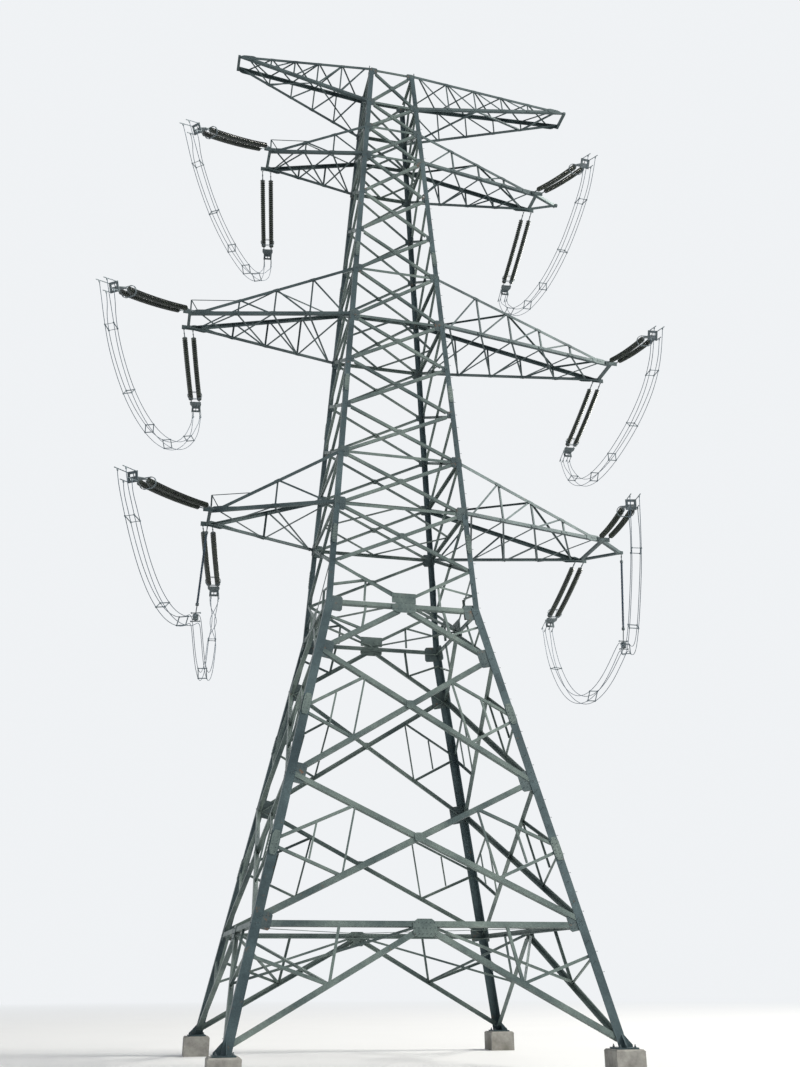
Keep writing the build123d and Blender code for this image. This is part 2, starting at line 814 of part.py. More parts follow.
# Aims of the near and far strings, and the jumper's route, of each circuit's wires.
circuits = {
    ("lower", "left"): (near_lower_left, far_left, lower_left_route),
    ("lower", "right"): (near_lower_right, far_right, lower_right_route),
    ("middle", "left"): (near_middle_left, far_left, middle_left_route),
    ("middle", "right"): (near_middle_right, far_right, middle_right_route),
    ("upper", "left"): (near_upper_left, far_left, upper_left_route),
    ("upper", "right"): (near_upper_right, far_right, upper_right_route),
}
for (row, hand), (near_aim, far_aim, route) in circuits.items():
    reach, tip_half, _, _ = arms[row, hand]
    sizes = hands[hand], reach, tip_half, rows[row][0]
    name = f"{row}_{hand}"
    save(f"strings_near_{name}", tension_pair(sizes, -1, near_aim))
    save(f"strings_far_{name}", tension_pair(sizes, 1, far_aim))
    near_lines = string_lines(*sizes, -1, near_aim)
    far_lines = string_lines(*sizes, 1, far_aim)
    save(f"jumper_{name}", jumper(name, near_lines, route, far_lines))

support_level = lower_arm_level + foot_level
left_top = Vector(-lower_arm_left, lower_tip_left, support_level)
right_top = Vector(lower_arm_right + lower_bracket_reach, 0, support_level)
for hand, route, held, top in (
    ("left", lower_left_route, held_left, left_top),
    ("right", lower_right_route, held_right, right_top),
):
    place = route.index(held)
    side = sideways(Vector(*route[place + 1]) - Vector(*route[place - 1]))
    save(f"support_string_{hand}", support_string(top, held, side))
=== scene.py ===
import math

import bpy
from mathutils import Matrix, Vector


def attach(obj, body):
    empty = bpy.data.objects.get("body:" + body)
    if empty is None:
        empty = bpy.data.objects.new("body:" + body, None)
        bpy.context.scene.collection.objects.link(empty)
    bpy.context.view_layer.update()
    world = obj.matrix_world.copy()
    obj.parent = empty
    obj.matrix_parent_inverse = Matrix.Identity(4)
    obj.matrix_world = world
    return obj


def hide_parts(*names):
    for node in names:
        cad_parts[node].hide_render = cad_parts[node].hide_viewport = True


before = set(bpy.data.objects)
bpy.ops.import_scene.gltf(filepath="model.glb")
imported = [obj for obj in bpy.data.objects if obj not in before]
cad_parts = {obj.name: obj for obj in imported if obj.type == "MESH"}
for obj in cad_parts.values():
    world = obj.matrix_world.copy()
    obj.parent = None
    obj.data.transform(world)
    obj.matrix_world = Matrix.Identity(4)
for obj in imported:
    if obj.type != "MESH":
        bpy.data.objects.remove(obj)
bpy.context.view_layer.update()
print("frame loaded")

# The camera stands on the ground in front of the tower and looks up at it.
viewpoint = {
    "place": (-0.5918, -2.6053, 0.1805),
    "yaw": 13.564,
    "pitch": 22.438,
    "roll": -0.262,
    "lens": 36.2,
    "clipStart": 0.01,
}


def addCamera():
    bpy.ops.object.camera_add(location=viewpoint["place"])
    camera = bpy.context.object
    camera.name = "camera"
    camera.data.lens = viewpoint["lens"]
    pitch, yaw = math.radians(90 + viewpoint["pitch"]), math.radians(-viewpoint["yaw"])
    camera.rotation_euler = (pitch, 0, yaw)
    camera.rotation_euler.rotate_axis("Z", math.radians(viewpoint["roll"]))
    camera.data.clip_start = viewpoint["clipStart"]
    bpy.context.scene.camera = camera


addCamera()

# Sizes are in metres at 1:20. Levels are heights above the feet of the legs.
tower = {
    "footLevel": 0.048,
    "girt": 0.232,
    "firstCross": 0.54,
    "secondCross": 0.84,
    "waist": 0.975,
    "shoulder": 1.075,
    "peak": 2.8,
    "footHalf": 0.404,
    "waistHalf": 0.191,
    "peakHalf": 0.072,
}
sideways = Vector((1, 0, 0))
upwards = Vector((0, 0, 1))

# side, level, reach, half width at the tip, turn and drop of the near strings, and of the far ones
circuits = {
    "lower_left": (-1, 1.235, 0.474, 0.045, (-34, 10), (8, 12)),
    "lower_right": (1, 1.235, 0.591, 0.078, (-13, 8), (5, 14)),
    "middle_left": (-1, 1.825, 0.566, 0.036, (-36, 22), (8, 12)),
    "middle_right": (1, 1.825, 0.678, 0.047, (-6, 19), (5, 14)),
    "upper_left": (-1, 2.43, 0.37, 0.04, (-46, 28), (8, 12)),
    "upper_right": (1, 2.43, 0.48, 0.037, (4, 25), (5, 14)),
}

fittings = {
    "hanger": 0.006,
    "beam": 0.008,
    "stringSpacing": 0.025,
    "link": 0.038,
    "stack": 0.265,
    "tail": 0.012,
    "yoke": 0.03,
    "bundle": 0.0225,
    "lowerLug": 0.02075,
    "upperLug": 0.04325,
    "clampHalf": 0.0015,
    "exit": 0.024,
}


def halfWidth(level):
    if level <= tower["waist"]:
        return tower["footHalf"] + (tower["waistHalf"] - tower["footHalf"]) * level / tower["waist"]
    share = (level - tower["waist"]) / (tower["peak"] - tower["waist"])
    return tower["waistHalf"] + (tower["peakHalf"] - tower["waistHalf"]) * share


def aboveGround(point):
    return Vector(point) + Vector((0, 0, tower["footLevel"]))


# A pair of strings: its directions, its anchor on the hanger plate and the start of its clamps.
def stringLines(side, level, reach, tipHalf, face, aim):
    turn, drop = math.radians(aim[0]), math.radians(aim[1])
    levelPart = Vector((math.sin(turn), face * math.cos(turn), 0))
    ahead = levelPart * math.cos(drop) - Vector((0, 0, math.sin(drop)))
    above = levelPart * math.sin(drop) + Vector((0, 0, math.cos(drop)))
    across = Vector((math.cos(turn), -face * math.sin(turn), 0))
    outside = face * (tipHalf + fittings["hanger"])
    anchor = aboveGround((side * reach, outside, level + fittings["beam"] / 2))
    reach = fittings["link"] + fittings["stack"] + fittings["tail"] + fittings["yoke"]
    return {
        "along": ahead,
        "above": above,
        "across": across,
        "anchor": anchor,
        "clamps": anchor + ahead * reach,
        "face": face,
    }


def bothEnds(name):
    side, level, reach, tipHalf, nearAim, farAim = circuits[name]
    nearLines = stringLines(side, level, reach, tipHalf, -1, nearAim)
    return nearLines, stringLines(side, level, reach, tipHalf, 1, farAim)


# Shared ways of working
def deselectAll():
    bpy.ops.object.select_all(action="DESELECT")


# Local Z runs from start to end, and local X faces the given way.
def along(start, end, facing, stretch=True):
    run = end - start
    zAxis = run.normalized()
    xAxis = (facing - zAxis * facing.dot(zAxis)).normalized()
    turn = Matrix((xAxis, zAxis.cross(xAxis), zAxis)).transposed().to_4x4()
    size = Matrix.Diagonal((1, 1, run.length if stretch else 1, 1))
    return Matrix.Translation(start) @ turn @ size


def copyOf(master, matrix):
    piece = master.copy()
    piece.data = master.data.copy()
    piece.data.transform(matrix)
    bpy.context.collection.objects.link(piece)
    return piece


def joinAs(name, pieces):
    deselectAll()
    for piece in pieces:
        piece.select_set(True)
    bpy.context.view_layer.objects.active = pieces[0]
    bpy.ops.object.join()
    pieces[0].name = name
    pieces[0].data.name = name
    return pieces[0]


def settle(piece):
    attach(piece, "root")


def bake(piece, finish):
    deselectAll()
    piece.select_set(True)
    bpy.context.view_layer.objects.active = piece
    bpy.ops.object.transform_apply(location=True, rotation=True, scale=True)
    for modifier in list(piece.modifiers):
        bpy.ops.object.modifier_apply(modifier=modifier.name)
    piece.data.materials.clear()
    piece.data.materials.append(finishes[finish])
    return piece


def discard(*masters):
    for master in masters:
        bpy.data.objects.remove(master)


def addBox(middle, size):
    deselectAll()
    bpy.ops.mesh.primitive_cube_add(size=1, location=middle, scale=size)
    bpy.ops.object.transform_apply(location=True, rotation=True, scale=True)
    return bpy.context.object


def editAll():
    bpy.ops.object.mode_set(mode="EDIT")
    bpy.ops.mesh.select_all(action="SELECT")


def extrude(x, y, z):
    bpy.ops.mesh.extrude_region_move(TRANSFORM_OT_translate={"value": (x, y, z)})


# Back to object mode with all faces outward
def closeEdit():
    bpy.ops.mesh.select_all(action="SELECT")
    bpy.ops.mesh.normals_make_consistent(inside=False)
    bpy.ops.object.mode_set(mode="OBJECT")


def smoothBy(angle):
    bpy.ops.object.shade_smooth_by_angle(angle=math.radians(angle))


# Middle line of each jumper's four wires between their exits, and the lengths of its inner and outer wires.
jumpers = {
    "lower_left": {
        "lengths": (1.107, 1.202),
        "route": [
            (-0.661, -0.315, 1.1), (-0.641, -0.27, 1.048), (-0.618, -0.222, 1.0), (-0.592, -0.168, 0.962),
            (-0.562, -0.11, 0.938), (-0.534, -0.055, 0.936), (-0.508, -0.003, 0.95), (-0.488, 0.045, 0.979),
            (-0.479, 0.094, 0.952), (-0.47, 0.144, 0.918), (-0.46, 0.2, 0.893), (-0.449, 0.258, 0.883),
            (-0.439, 0.314, 0.896), (-0.43, 0.362, 0.932), (-0.425, 0.394, 0.982), (-0.422, 0.412, 1.036),
            (-0.422, 0.416, 1.088),
        ],
    },
    "lower_right": {
        "lengths": (1.175, 1.279),
        "route": [
            (0.524, -0.408, 1.112), (0.541, -0.362, 1.056), (0.557, -0.312, 1.006), (0.575, -0.258, 0.962),
            (0.595, -0.2, 0.932), (0.616, -0.142, 0.919), (0.636, -0.084, 0.924), (0.652, -0.036, 0.943),
            (0.664, 0.0, 0.967), (0.662, 0.046, 0.938), (0.657, 0.098, 0.902), (0.651, 0.154, 0.877),
            (0.645, 0.212, 0.867), (0.639, 0.268, 0.875), (0.634, 0.32, 0.902), (0.63, 0.364, 0.944),
            (0.627, 0.4, 0.996), (0.624, 0.428, 1.056),
        ],
    },
    "middle_left": {
        "lengths": (0.903, 1.003),
        "route": [
            (-0.757, -0.286, 1.618), (-0.743, -0.241, 1.574), (-0.724, -0.187, 1.539),
            (-0.704, -0.127, 1.515), (-0.682, -0.064, 1.501), (-0.659, 0.002, 1.496),
            (-0.636, 0.068, 1.5), (-0.613, 0.132, 1.512),
            (-0.59, 0.195, 1.532), (-0.568, 0.256, 1.561), (-0.548, 0.313, 1.6), (-0.531, 0.362, 1.646),
            (-0.52, 0.392, 1.69),
        ],
    },
    "middle_right": {
        "lengths": (0.915, 1.015),
        "route": [
            (0.645, -0.374, 1.64), (0.65, -0.322, 1.6), (0.655, -0.264, 1.576), (0.66, -0.2, 1.558),
            (0.665, -0.134, 1.547), (0.671, -0.066, 1.541), (0.677, 0.004, 1.538), (0.683, 0.074, 1.54),
            (0.689, 0.144, 1.548), (0.695, 0.21, 1.562), (0.701, 0.276, 1.586), (0.706, 0.338, 1.622),
            (0.709, 0.384, 1.668),
        ],
    },
    "upper_left": {
        "lengths": (0.812, 0.905),
        "route": [
            (-0.586, -0.228, 2.2), (-0.564, -0.174, 2.176), (-0.541, -0.116, 2.16), (-0.516, -0.054, 2.151),
            (-0.49, 0.008, 2.148), (-0.463, 0.07, 2.149), (-0.436, 0.132, 2.157), (-0.41, 0.194, 2.171),
            (-0.385, 0.254, 2.192), (-0.361, 0.312, 2.224), (-0.34, 0.36, 2.262), (-0.327, 0.39, 2.298),
        ],
    },
    "upper_right": {
        "lengths": (0.862, 0.958),
        "route": [
            (0.505, -0.338, 2.218), (0.506, -0.286, 2.19), (0.506, -0.228, 2.164), (0.507, -0.166, 2.145),
            (0.507, -0.102, 2.134), (0.508, -0.036, 2.13), (0.509, 0.03, 2.133), (0.509, 0.096, 2.142),
            (0.51, 0.16, 2.156), (0.511, 0.222, 2.177), (0.511, 0.282, 2.206), (0.512, 0.336, 2.242),
            (0.512, 0.378, 2.284),
        ],
    },
}
wireLook = {"diameter": 0.0017, "roundness": 2, "curveSteps": 8, "order": 3}


def wireExit(lines, right, up):
    reach = fittings["upperLug"] if up > 0 else fittings["lowerLug"]
    shift = lines["across"] * (right * fittings["bundle"])
    shift += lines["above"] * (up * fittings["bundle"] - fittings["clampHalf"])
    start = lines["clamps"] + lines["along"] * reach + shift
    return start, start - lines["above"] * fittings["exit"]


def exitsMiddle(lines):
    reach = (fittings["lowerLug"] + fittings["upperLug"]) / 2
    drop = fittings["exit"] + fittings["clampHalf"]
    return lines["clamps"] + lines["along"] * reach - lines["above"] * drop


def wirePoints(nearLines, route, farLines, right, up):
    middle = [exitsMiddle(nearLines)] + [aboveGround(point) for point in route] + [exitsMiddle(farLines)]
    points = list(wireExit(nearLines, right, up))
    for before, here, after in zip(middle, middle[1:], middle[2:]):
        tangent = (after - before).normalized()
        side = tangent.cross(upwards).normalized()
        points.append(here + (side * right + tangent.cross(side) * up) * fittings["bundle"])
    farStart, farExit = wireExit(farLines, right, up)
    return points + [farExit, farStart]


def addWire(name, points):
    curve = bpy.data.curves.new(name, "CURVE")
    curve.dimensions = "3D"
    spline = curve.splines.new("NURBS")
    spline.points.add(len(points) - 1)
    for target, point in zip(spline.points, points):
        target.co = (*point, 1)
    spline.order_u = wireLook["order"]
    spline.use_endpoint_u = True
    curve.resolution_u = wireLook["curveSteps"]
    wire = bpy.data.objects.new(name, curve)
    bpy.context.collection.objects.link(wire)
    return wire


# The points that a wire follows, read before it gets its thickness.
def linePoints(wire):
    bpy.context.view_layer.update()
    mesh = bpy.data.meshes.new_from_object(wire.evaluated_get(bpy.context.evaluated_depsgraph_get()))
    points = [vertex.co.copy() for vertex in mesh.vertices]
    bpy.data.meshes.remove(mesh)
    return points


def pointAt(points, share):
    runs = [(end - start).length for start, end in zip(points, points[1:])]
    left = share * sum(runs)
    for start, end, length in zip(points, points[1:], runs):
        if left <= length:
            return start.lerp(end, left / length), (end - start).normalized()
        left -= length
    return points[-1], (points[-1] - points[-2]).normalized()


jumperLines = {}


def addJumper(name, plan):
    nearLines, farLines = bothEnds(name)
    for right in (-0.5, 0.5):
        for up in (-0.5, 0.5):
            place = ("left" if right < 0 else "right") + ("_inner" if up < 0 else "_outer")
            points = wirePoints(nearLines, plan["route"], farLines, right, up)
            wire = addWire(f"wire_{name}_{place}", points)
            jumperLines[name, right, up] = linePoints(wire)
            wire.data.bevel_depth = wireLook["diameter"] / 2
            wire.data.bevel_resolution = wireLook["roundness"]
            wire.data.use_fill_caps = True
            wire.data.materials.append(finishes["conductor"])
            settle(wire)
            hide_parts(f"jumper_{name}")


# Finishes
def addNode(tree, kind, **values):
    node = tree.nodes.new(kind)
    for name, value in values.items():
        node.inputs[name].default_value = value
    return node


# A texture laid in object coordinates
def addTexture(tree, place, kind, **values):
    texture = addNode(tree, f"ShaderNodeTex{kind}", **values)
    tree.links.new(place, texture.inputs["Vector"])
    return texture


def addRamp(tree, source, stops):
    ramp = tree.nodes.new("ShaderNodeValToRGB")
    while len(ramp.color_ramp.elements) < len(stops):
        ramp.color_ramp.elements.new(0.5)
    for element, (place, colour) in zip(ramp.color_ramp.elements, stops):
        element.position = place
        element.color = (*colour, 1)
    tree.links.new(source, ramp.inputs["Fac"])
    return ramp


# From the dark colour of a look to its light one
def addTone(tree, source, look, span):
    return addRamp(tree, source, [(span[0], look["dark"]), (span[1], look["light"])])


# A ramp of greys from pairs of place and value
def addGreys(tree, source, stops):
    return addRamp(tree, source, [(place, (value, value, value)) for place, value in stops])


def mixColour(tree, share, one, other, blend="MIX"):
    mix = tree.nodes.new("ShaderNodeMix")
    mix.data_type = "RGBA"
    mix.blend_type = blend
    colours = [socket for socket in mix.inputs if socket.type == "RGBA"]
    for source, target in ((share, mix.inputs["Factor"]), (one, colours[0]), (other, colours[1])):
        if isinstance(source, (int, float)):
            target.default_value = source
        elif isinstance(source, tuple):
            target.default_value = (*source, 1)
        else:
            tree.links.new(source, target)
    return next(socket for socket in mix.outputs if socket.type == "RGBA")


def newFinish(name):
    material = bpy.data.materials.new(name)
    material.use_nodes = True
    tree = material.node_tree
    place = tree.nodes.new("ShaderNodeTexCoord").outputs["Object"]
    return material, tree, tree.nodes["Principled BSDF"], place


def addBump(tree, shader, height, distance, strength):
    bump = addNode(tree, "ShaderNodeBump", Strength=strength, Distance=distance)
    tree.links.new(height, bump.inputs["Height"])
    tree.links.new(bump.outputs["Normal"], shader.inputs["Normal"])


# All of these but the ring alloy are one weathered galvanised steel: the legs and arms are darkened as
# painted shade, and the bracing is paler and greener as painted sunlight.
steelLooks = {
    "legSteelPaintedShade": {"dark": (0.022, 0.042, 0.05), "light": (0.075, 0.115, 0.125), "rust": 0.62},
    "bracingSteelPaintedSun": {"dark": (0.05, 0.078, 0.08), "light": (0.18, 0.228, 0.208), "rust": 0.64},
    "armSteelPaintedShade": {"dark": (0.024, 0.042, 0.048), "light": (0.085, 0.12, 0.122), "rust": 0.64},
    "fittingSteel": {"dark": (0.05, 0.07, 0.08), "light": (0.14, 0.17, 0.18), "rust": 0.68},
    "plateSteel": {"dark": (0.03, 0.052, 0.06), "light": (0.1, 0.135, 0.135), "rust": 0.57},
    "ringAlloy": {"dark": (0.09, 0.12, 0.14), "light": (0.22, 0.26, 0.28), "rust": 0.8},
}
steelGrain = {
    "blotch": {"Scale": 7, "Detail": 6, "Roughness": 0.65},
    "spangle": {"Scale": 520},
    "fine": {"Scale": 900, "Detail": 3},
    "rust": {"Scale": 60, "Detail": 8, "Roughness": 0.7},
    "span": (0.36, 0.66),
    "flakes": ((0.2, 0.86), (0.8, 1.12)),
    "rustEdge": 0.09,
    "rustCover": 0.8,
    "rustColour": (0.16, 0.085, 0.045),
    "gloss": ((0.3, 0.42), (0.7, 0.62)),
    "metal": 0.35,
    "bump": (0.0001, 0.1),
}


# Old galvanising: broad grey-green blotches, fine spangle and a little rust, on tones that hold each look's
# painted shade or painted sunlight.
def makeSteel(name, look):
    grain = steelGrain
    material, tree, shader, place = newFinish(name)
    blotch = addTexture(tree, place, "Noise", **grain["blotch"])
    spangle = addTexture(tree, place, "Voronoi", **grain["spangle"])
    fine = addTexture(tree, place, "Noise", **grain["fine"])
    rust = addTexture(tree, place, "Noise", **grain["rust"])
    tone = addTone(tree, blotch.outputs["Fac"], look, grain["span"])
    flake = addGreys(tree, spangle.outputs["Color"], grain["flakes"])
    spangled = mixColour(tree, 1.0, tone.outputs["Color"], flake.outputs["Color"], "MULTIPLY")
    edge = ((look["rust"], 0), (look["rust"] + grain["rustEdge"], grain["rustCover"]))
    spots = addGreys(tree, rust.outputs["Fac"], edge)
    colour = mixColour(tree, spots.outputs["Color"], spangled, grain["rustColour"])
    tree.links.new(colour, shader.inputs["Base Color"])
    gloss = addGreys(tree, fine.outputs["Fac"], grain["gloss"])
    tree.links.new(gloss.outputs["Color"], shader.inputs["Roughness"])
    shader.inputs["Metallic"].default_value = grain["metal"]
    addBump(tree, shader, fine.outputs["Fac"], *grain["bump"])
    return material


# Two tones, a film over them where there is one, and the relief of one of the textures.
otherLooks = {
    # brown-black glaze with a film of dust
    "porcelain": {
        "dark": (0.006, 0.01, 0.014),
        "light": (0.03, 0.042, 0.03),
        "span": (0.3, 0.75),
        "textures": {
            "tone": ("Noise", {"Scale": 40, "Detail": 4}),
            "film": ("Noise", {"Scale": 360, "Detail": 5}),
        },
        "film": ((0.45, 0), (0.8, 0.35)),
        "filmColour": (0.12, 0.15, 0.07),
        "sockets": {"Roughness": 0.22, "Coat Weight": 0.4},
        "relief": "film",
        "bump": (0.0001, 0.15),
    },
    "conductor": {
        "dark": (0.05, 0.075, 0.1),
        "light": (0.13, 0.17, 0.21),
        "span": (0.3, 0.7),
        "textures": {
            "tone": ("Noise", {"Scale": 30, "Detail": 5}),
            "strands": ("Wave", {"Scale": 1400, "Distortion": 1.5}),
        },
        "sockets": {"Metallic": 0.5, "Roughness": 0.5},
        "relief": "strands",
        "bump": (0.0002, 0.4),
    },
    # weathered grey with darker stains
    "concrete": {
        "dark": (0.2, 0.195, 0.18),
        "light": (0.42, 0.41, 0.38),
        "span": (0.3, 0.7),
        "textures": {
            "tone": ("Noise", {"Scale": 38, "Detail": 9, "Roughness": 0.7}),
            "grit": ("Noise", {"Scale": 700, "Detail": 4}),
            "film": ("Noise", {"Scale": 14, "Detail": 6}),
        },
        "film": ((0.52, 0), (0.75, 0.7)),
        "filmColour": (0.12, 0.11, 0.085),
        "sockets": {"Roughness": 0.92},
        "relief": "grit",
        "bump": (0.0006, 0.6),
    },
    # blue-grey rubber of the slender insulators
    "silicone": {
        "dark": (0.03, 0.055, 0.085),
        "light": (0.07, 0.115, 0.16),
        "span": (0.35, 0.7),
        "textures": {"tone": ("Noise", {"Scale": 60, "Detail": 6})},
        "sockets": {"Roughness": 0.6},
        "relief": "tone",
        "bump": (0.0002, 0.2),
    },
}


def makeOther(name, look):
    material, tree, shader, place = newFinish(name)
    textures = {}
    for part, (kind, values) in look["textures"].items():
        textures[part] = addTexture(tree, place, kind, **values).outputs["Fac"]
    colour = addTone(tree, textures["tone"], look, look["span"]).outputs["Color"]
    if "film" in look:
        mask = addGreys(tree, textures["film"], look["film"])
        colour = mixColour(tree, mask.outputs["Color"], colour, look["filmColour"])
    tree.links.new(colour, shader.inputs["Base Color"])
    for socket, value in look["sockets"].items():
        shader.inputs[socket].default_value = value
    addBump(tree, shader, textures[look["relief"]], *look["bump"])
    return material


finishes = {name: makeSteel(name, look) for name, look in steelLooks.items()}
finishes.update({name: makeOther(name, look) for name, look in otherLooks.items()})

# Legs and arms take the steel darkened as painted shade, the other lattice the steel made paler as painted
# sunlight, and the piers concrete.
for name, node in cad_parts.items():
    finish = "bracingSteelPaintedSun"
    if name.startswith("leg"):
        finish = "legSteelPaintedShade"
    if "arm" in name:
        finish = "armSteelPaintedShade"
    if name.startswith("pier"):
        finish = "concrete"
    for slot in node.material_slots:
        slot.material = finishes[finish]
print("finishes made")

for name, plan in jumpers.items():
    addJumper(name, plan)
print("jumpers hung")


# A rod of unit length along Z, smooth where it has more sides than a hexagon.
def makeRod(radius, sides, finish):
    deselectAll()
    bpy.ops.mesh.primitive_cylinder_add(vertices=sides, radius=radius, depth=1, location=(0, 0, 0.5))
    rod = bake(bpy.context.object, finish)
    if sides > 6:
        smoothBy(40)
    return rod


# A flat of unit length along Z, its thickness along X.
def makeFlat(thick, width, finish):
    return bake(addBox((0, 0, 0.5), (thick, width, 1)), finish)


# A filled circle extruded along Z through a list of rises and radii.
def turned(radius, steps, sides, finish, smooth=40):
    deselectAll()
    bpy.ops.mesh.primitive_circle_add(vertices=sides, radius=radius, fill_type="NGON")
    piece = bpy.context.object
    editAll()
    for rise, target in steps:
        extrude(0, 0, rise)
        bpy.ops.transform.resize(value=(target / radius, target / radius, 1), center_override=(0, 0, 0))
        radius = target
    closeEdit()
    smoothBy(smooth)
    return bake(piece, finish)


# Discs: each step of the outline is a rise and a radius.
disc = {
    "sides": 14,
    "count": 35,
    "capRadius": 0.0024,
    "cap": [(0.0016, 0.0027), (0.0008, 0.0022)],
    "shed": [
        (0.0003, 0.0042), (0.0008, 0.0066), (0.0007, 0.0075), (0.0006, 0.0074), (-0.0002, 0.0064),
        (-0.0009, 0.0052), (0.0007, 0.0048), (-0.0008, 0.0036), (0.0006, 0.0032), (-0.0007, 0.0016),
    ],
    "pin": [(0.0002, 0.0009), (0.0041, 0.0009)],
    "glazeFrom": 0.45,
    "glazeBelow": 0.002,
    "smooth": 50,
}


# The glaze covers what lies outside the cap's middle and above the pin.
def makeDisc():
    outline = disc["cap"] + disc["shed"] + disc["pin"]
    piece = turned(disc["capRadius"], outline, disc["sides"], "fittingSteel", disc["smooth"])
    piece.data.materials.append(finishes["porcelain"])
    capTop = sum(rise for rise, _ in disc["cap"])
    shedEnd = capTop + sum(rise for rise, _ in disc["shed"]) + disc["glazeBelow"]
    for face in piece.data.polygons:
        middle = face.center
        outside = Vector((middle.x, middle.y)).length > disc["capRadius"] * disc["glazeFrom"]
        face.material_index = 1 if outside and capTop < middle.z < shedEnd else 0
    return piece


def selectFaces(piece, test):
    bpy.ops.object.mode_set(mode="EDIT")
    bpy.ops.mesh.select_mode(type="FACE")
    bpy.ops.mesh.select_all(action="DESELECT")
    bpy.ops.object.mode_set(mode="OBJECT")
    for face in piece.data.polygons:
        face.select = bool(test(face))
    bpy.ops.object.mode_set(mode="EDIT")


# A bar of unit length along Z with a square corner: heel on the axis, flanges along X and Y.
def makeAngle(thick, finish):
    bar = addBox((thick / 2, thick / 2, 0.5), (thick, thick, 1))
    for axis, other in ((0, 1), (1, 0)):
        selectFaces(bar, lambda face: face.normal[axis] > 0.9 and face.center[other] < thick)
        grow = [0, 0, 0]
        grow[axis] = 1 - thick
        extrude(*grow)
    bpy.ops.object.mode_set(mode="OBJECT")
    return bake(bar, finish)


bolt = {"radius": 0.0009, "height": 0.0007, "thread": 0.0004, "rim": 0.35}


# A hexagon head with the end of its thread, its axis along Z.
def makeBolt():
    deselectAll()
    bpy.ops.mesh.primitive_cylinder_add(vertices=6, radius=bolt["radius"], depth=bolt["height"])
    head = bpy.context.object
    head.data.transform(Matrix.Translation((0, 0, bolt["height"] / 2)))
    selectFaces(head, lambda face: face.normal.z > 0.9)
    bpy.ops.mesh.inset(thickness=bolt["radius"] * bolt["rim"], depth=bolt["thread"])
    bpy.ops.object.mode_set(mode="OBJECT")
    return bake(head, "fittingSteel")


# Insulator pairs. A pair is built lying along Z, with Y upwards, and starts at its first discs.
# A rod starts by its "back" before one part and ends by its "on" inside the next.
pair = {
    "sag": 0.004,
    "rod": (0.0011, 8),
    "thinRod": (0.0005, 6),
    "tailBack": 0.002,
    "tailOn": 0.004,
    "armBack": 0.006,
    "armOn": 0.001,
    "linkThick": 0.0022,
    "eyeShares": (0.12, 0.2, 0.8, 0.88),
    "eyeFrom": 0.35,
    "eyeScale": (0.5, 1.9),
    "firstStrap": (0.008, 0.024),
    "secondStrap": 0.021,
    "eyeOver": 0.0005,
    "shackleRadius": 0.0032,
    "shackleWire": 0.0008,
    "shackleLeg": 0.007,
    "shackleEnd": 0.002,
    "weld": 0.00005,
    "yokeThick": 0.002,
    "yokeWidth": 0.0335,
    "yokeBend": 0.4,
    "yokeNarrow": 0.45,
    "yokeRecess": (0.0035, -0.0004),
    "frameSize": 0.0265,
    "frameRim": 0.006,
    "frameThick": 0.002,
    "clampRadius": 0.0013,
    "clampMouth": 0.8,
    "clampBody": 0.85,
    "clampRises": (0.002, 0.003, 0.001),
    "clampLower": 0.034,
    "clampUpper": 0.056,
    "noseRadius": 0.0009,
    "lug": (0.0046, 0.0012, 0.0056),
    "lugEdge": 0.0005,
    "ringStraight": 0.008,
    "ringHeight": 0.027,
    "ringWire": 0.0008,
    "ringBack": 0.016,
    "ringPitch": 0.004,
    "ringSeat": (0.012, 0.004),
    "ringSides": (22, 8),
    "ringMiddle": 0.0005,
    "ringSmooth": 50,
}


# Round bar in the XZ plane: two legs towards -Z beside the axis, and a bow between them.
def makeShackle():
    deselectAll()
    radius, leg = pair["shackleRadius"], pair["shackleLeg"]
    bpy.ops.mesh.primitive_circle_add(
        vertices=6, radius=pair["shackleWire"], fill_type="NGON", location=(radius, 0, -leg)
    )
    piece = bpy.context.object
    editAll()
    extrude(0, 0, leg)
    bpy.ops.mesh.spin(steps=6, angle=math.pi, center=(0, 0, 0), axis=(0, -1, 0))
    extrude(0, 0, -leg)
    bpy.ops.mesh.select_all(action="SELECT")
    bpy.ops.mesh.remove_doubles(threshold=pair["weld"])
    closeEdit()
    return bake(piece, "fittingSteel")


# A forged strap of unit length along Z that widens at its eyes.
def makeStrap(thick, finish):
    strap = addBox((0, 0, 0.5), (thick, thick, 1))
    editAll()
    for place in pair["eyeShares"]:
        bpy.ops.mesh.bisect(plane_co=(0, 0, place), plane_no=(0, 0, 1))
        bpy.ops.mesh.select_all(action="SELECT")
    bpy.ops.object.mode_set(mode="OBJECT")
    flatten, widen = pair["eyeScale"]
    for vertex in strap.data.vertices:
        if abs(vertex.co.z - 0.5) > pair["eyeFrom"]:
            vertex.co.x *= flatten
            vertex.co.y *= widen
    return bake(strap, finish)


# A racetrack of round bar around both strings: a ring whose halves stand apart.
def makeRing():
    deselectAll()
    around, section = pair["ringSides"]
    bpy.ops.mesh.primitive_torus_add(
        major_radius=pair["ringHeight"] / 2,
        minor_radius=pair["ringWire"],
        major_segments=around,
        minor_segments=section,
    )
    ring = bpy.context.object
    for side in (-1, 1):
        selectFaces(ring, lambda face: face.center.x * side > pair["ringMiddle"])
        bpy.ops.transform.translate(value=(side * pair["ringStraight"], 0, 0))
    bpy.ops.object.mode_set(mode="OBJECT")
    smoothBy(pair["ringSmooth"])
    return bake(ring, "ringAlloy")


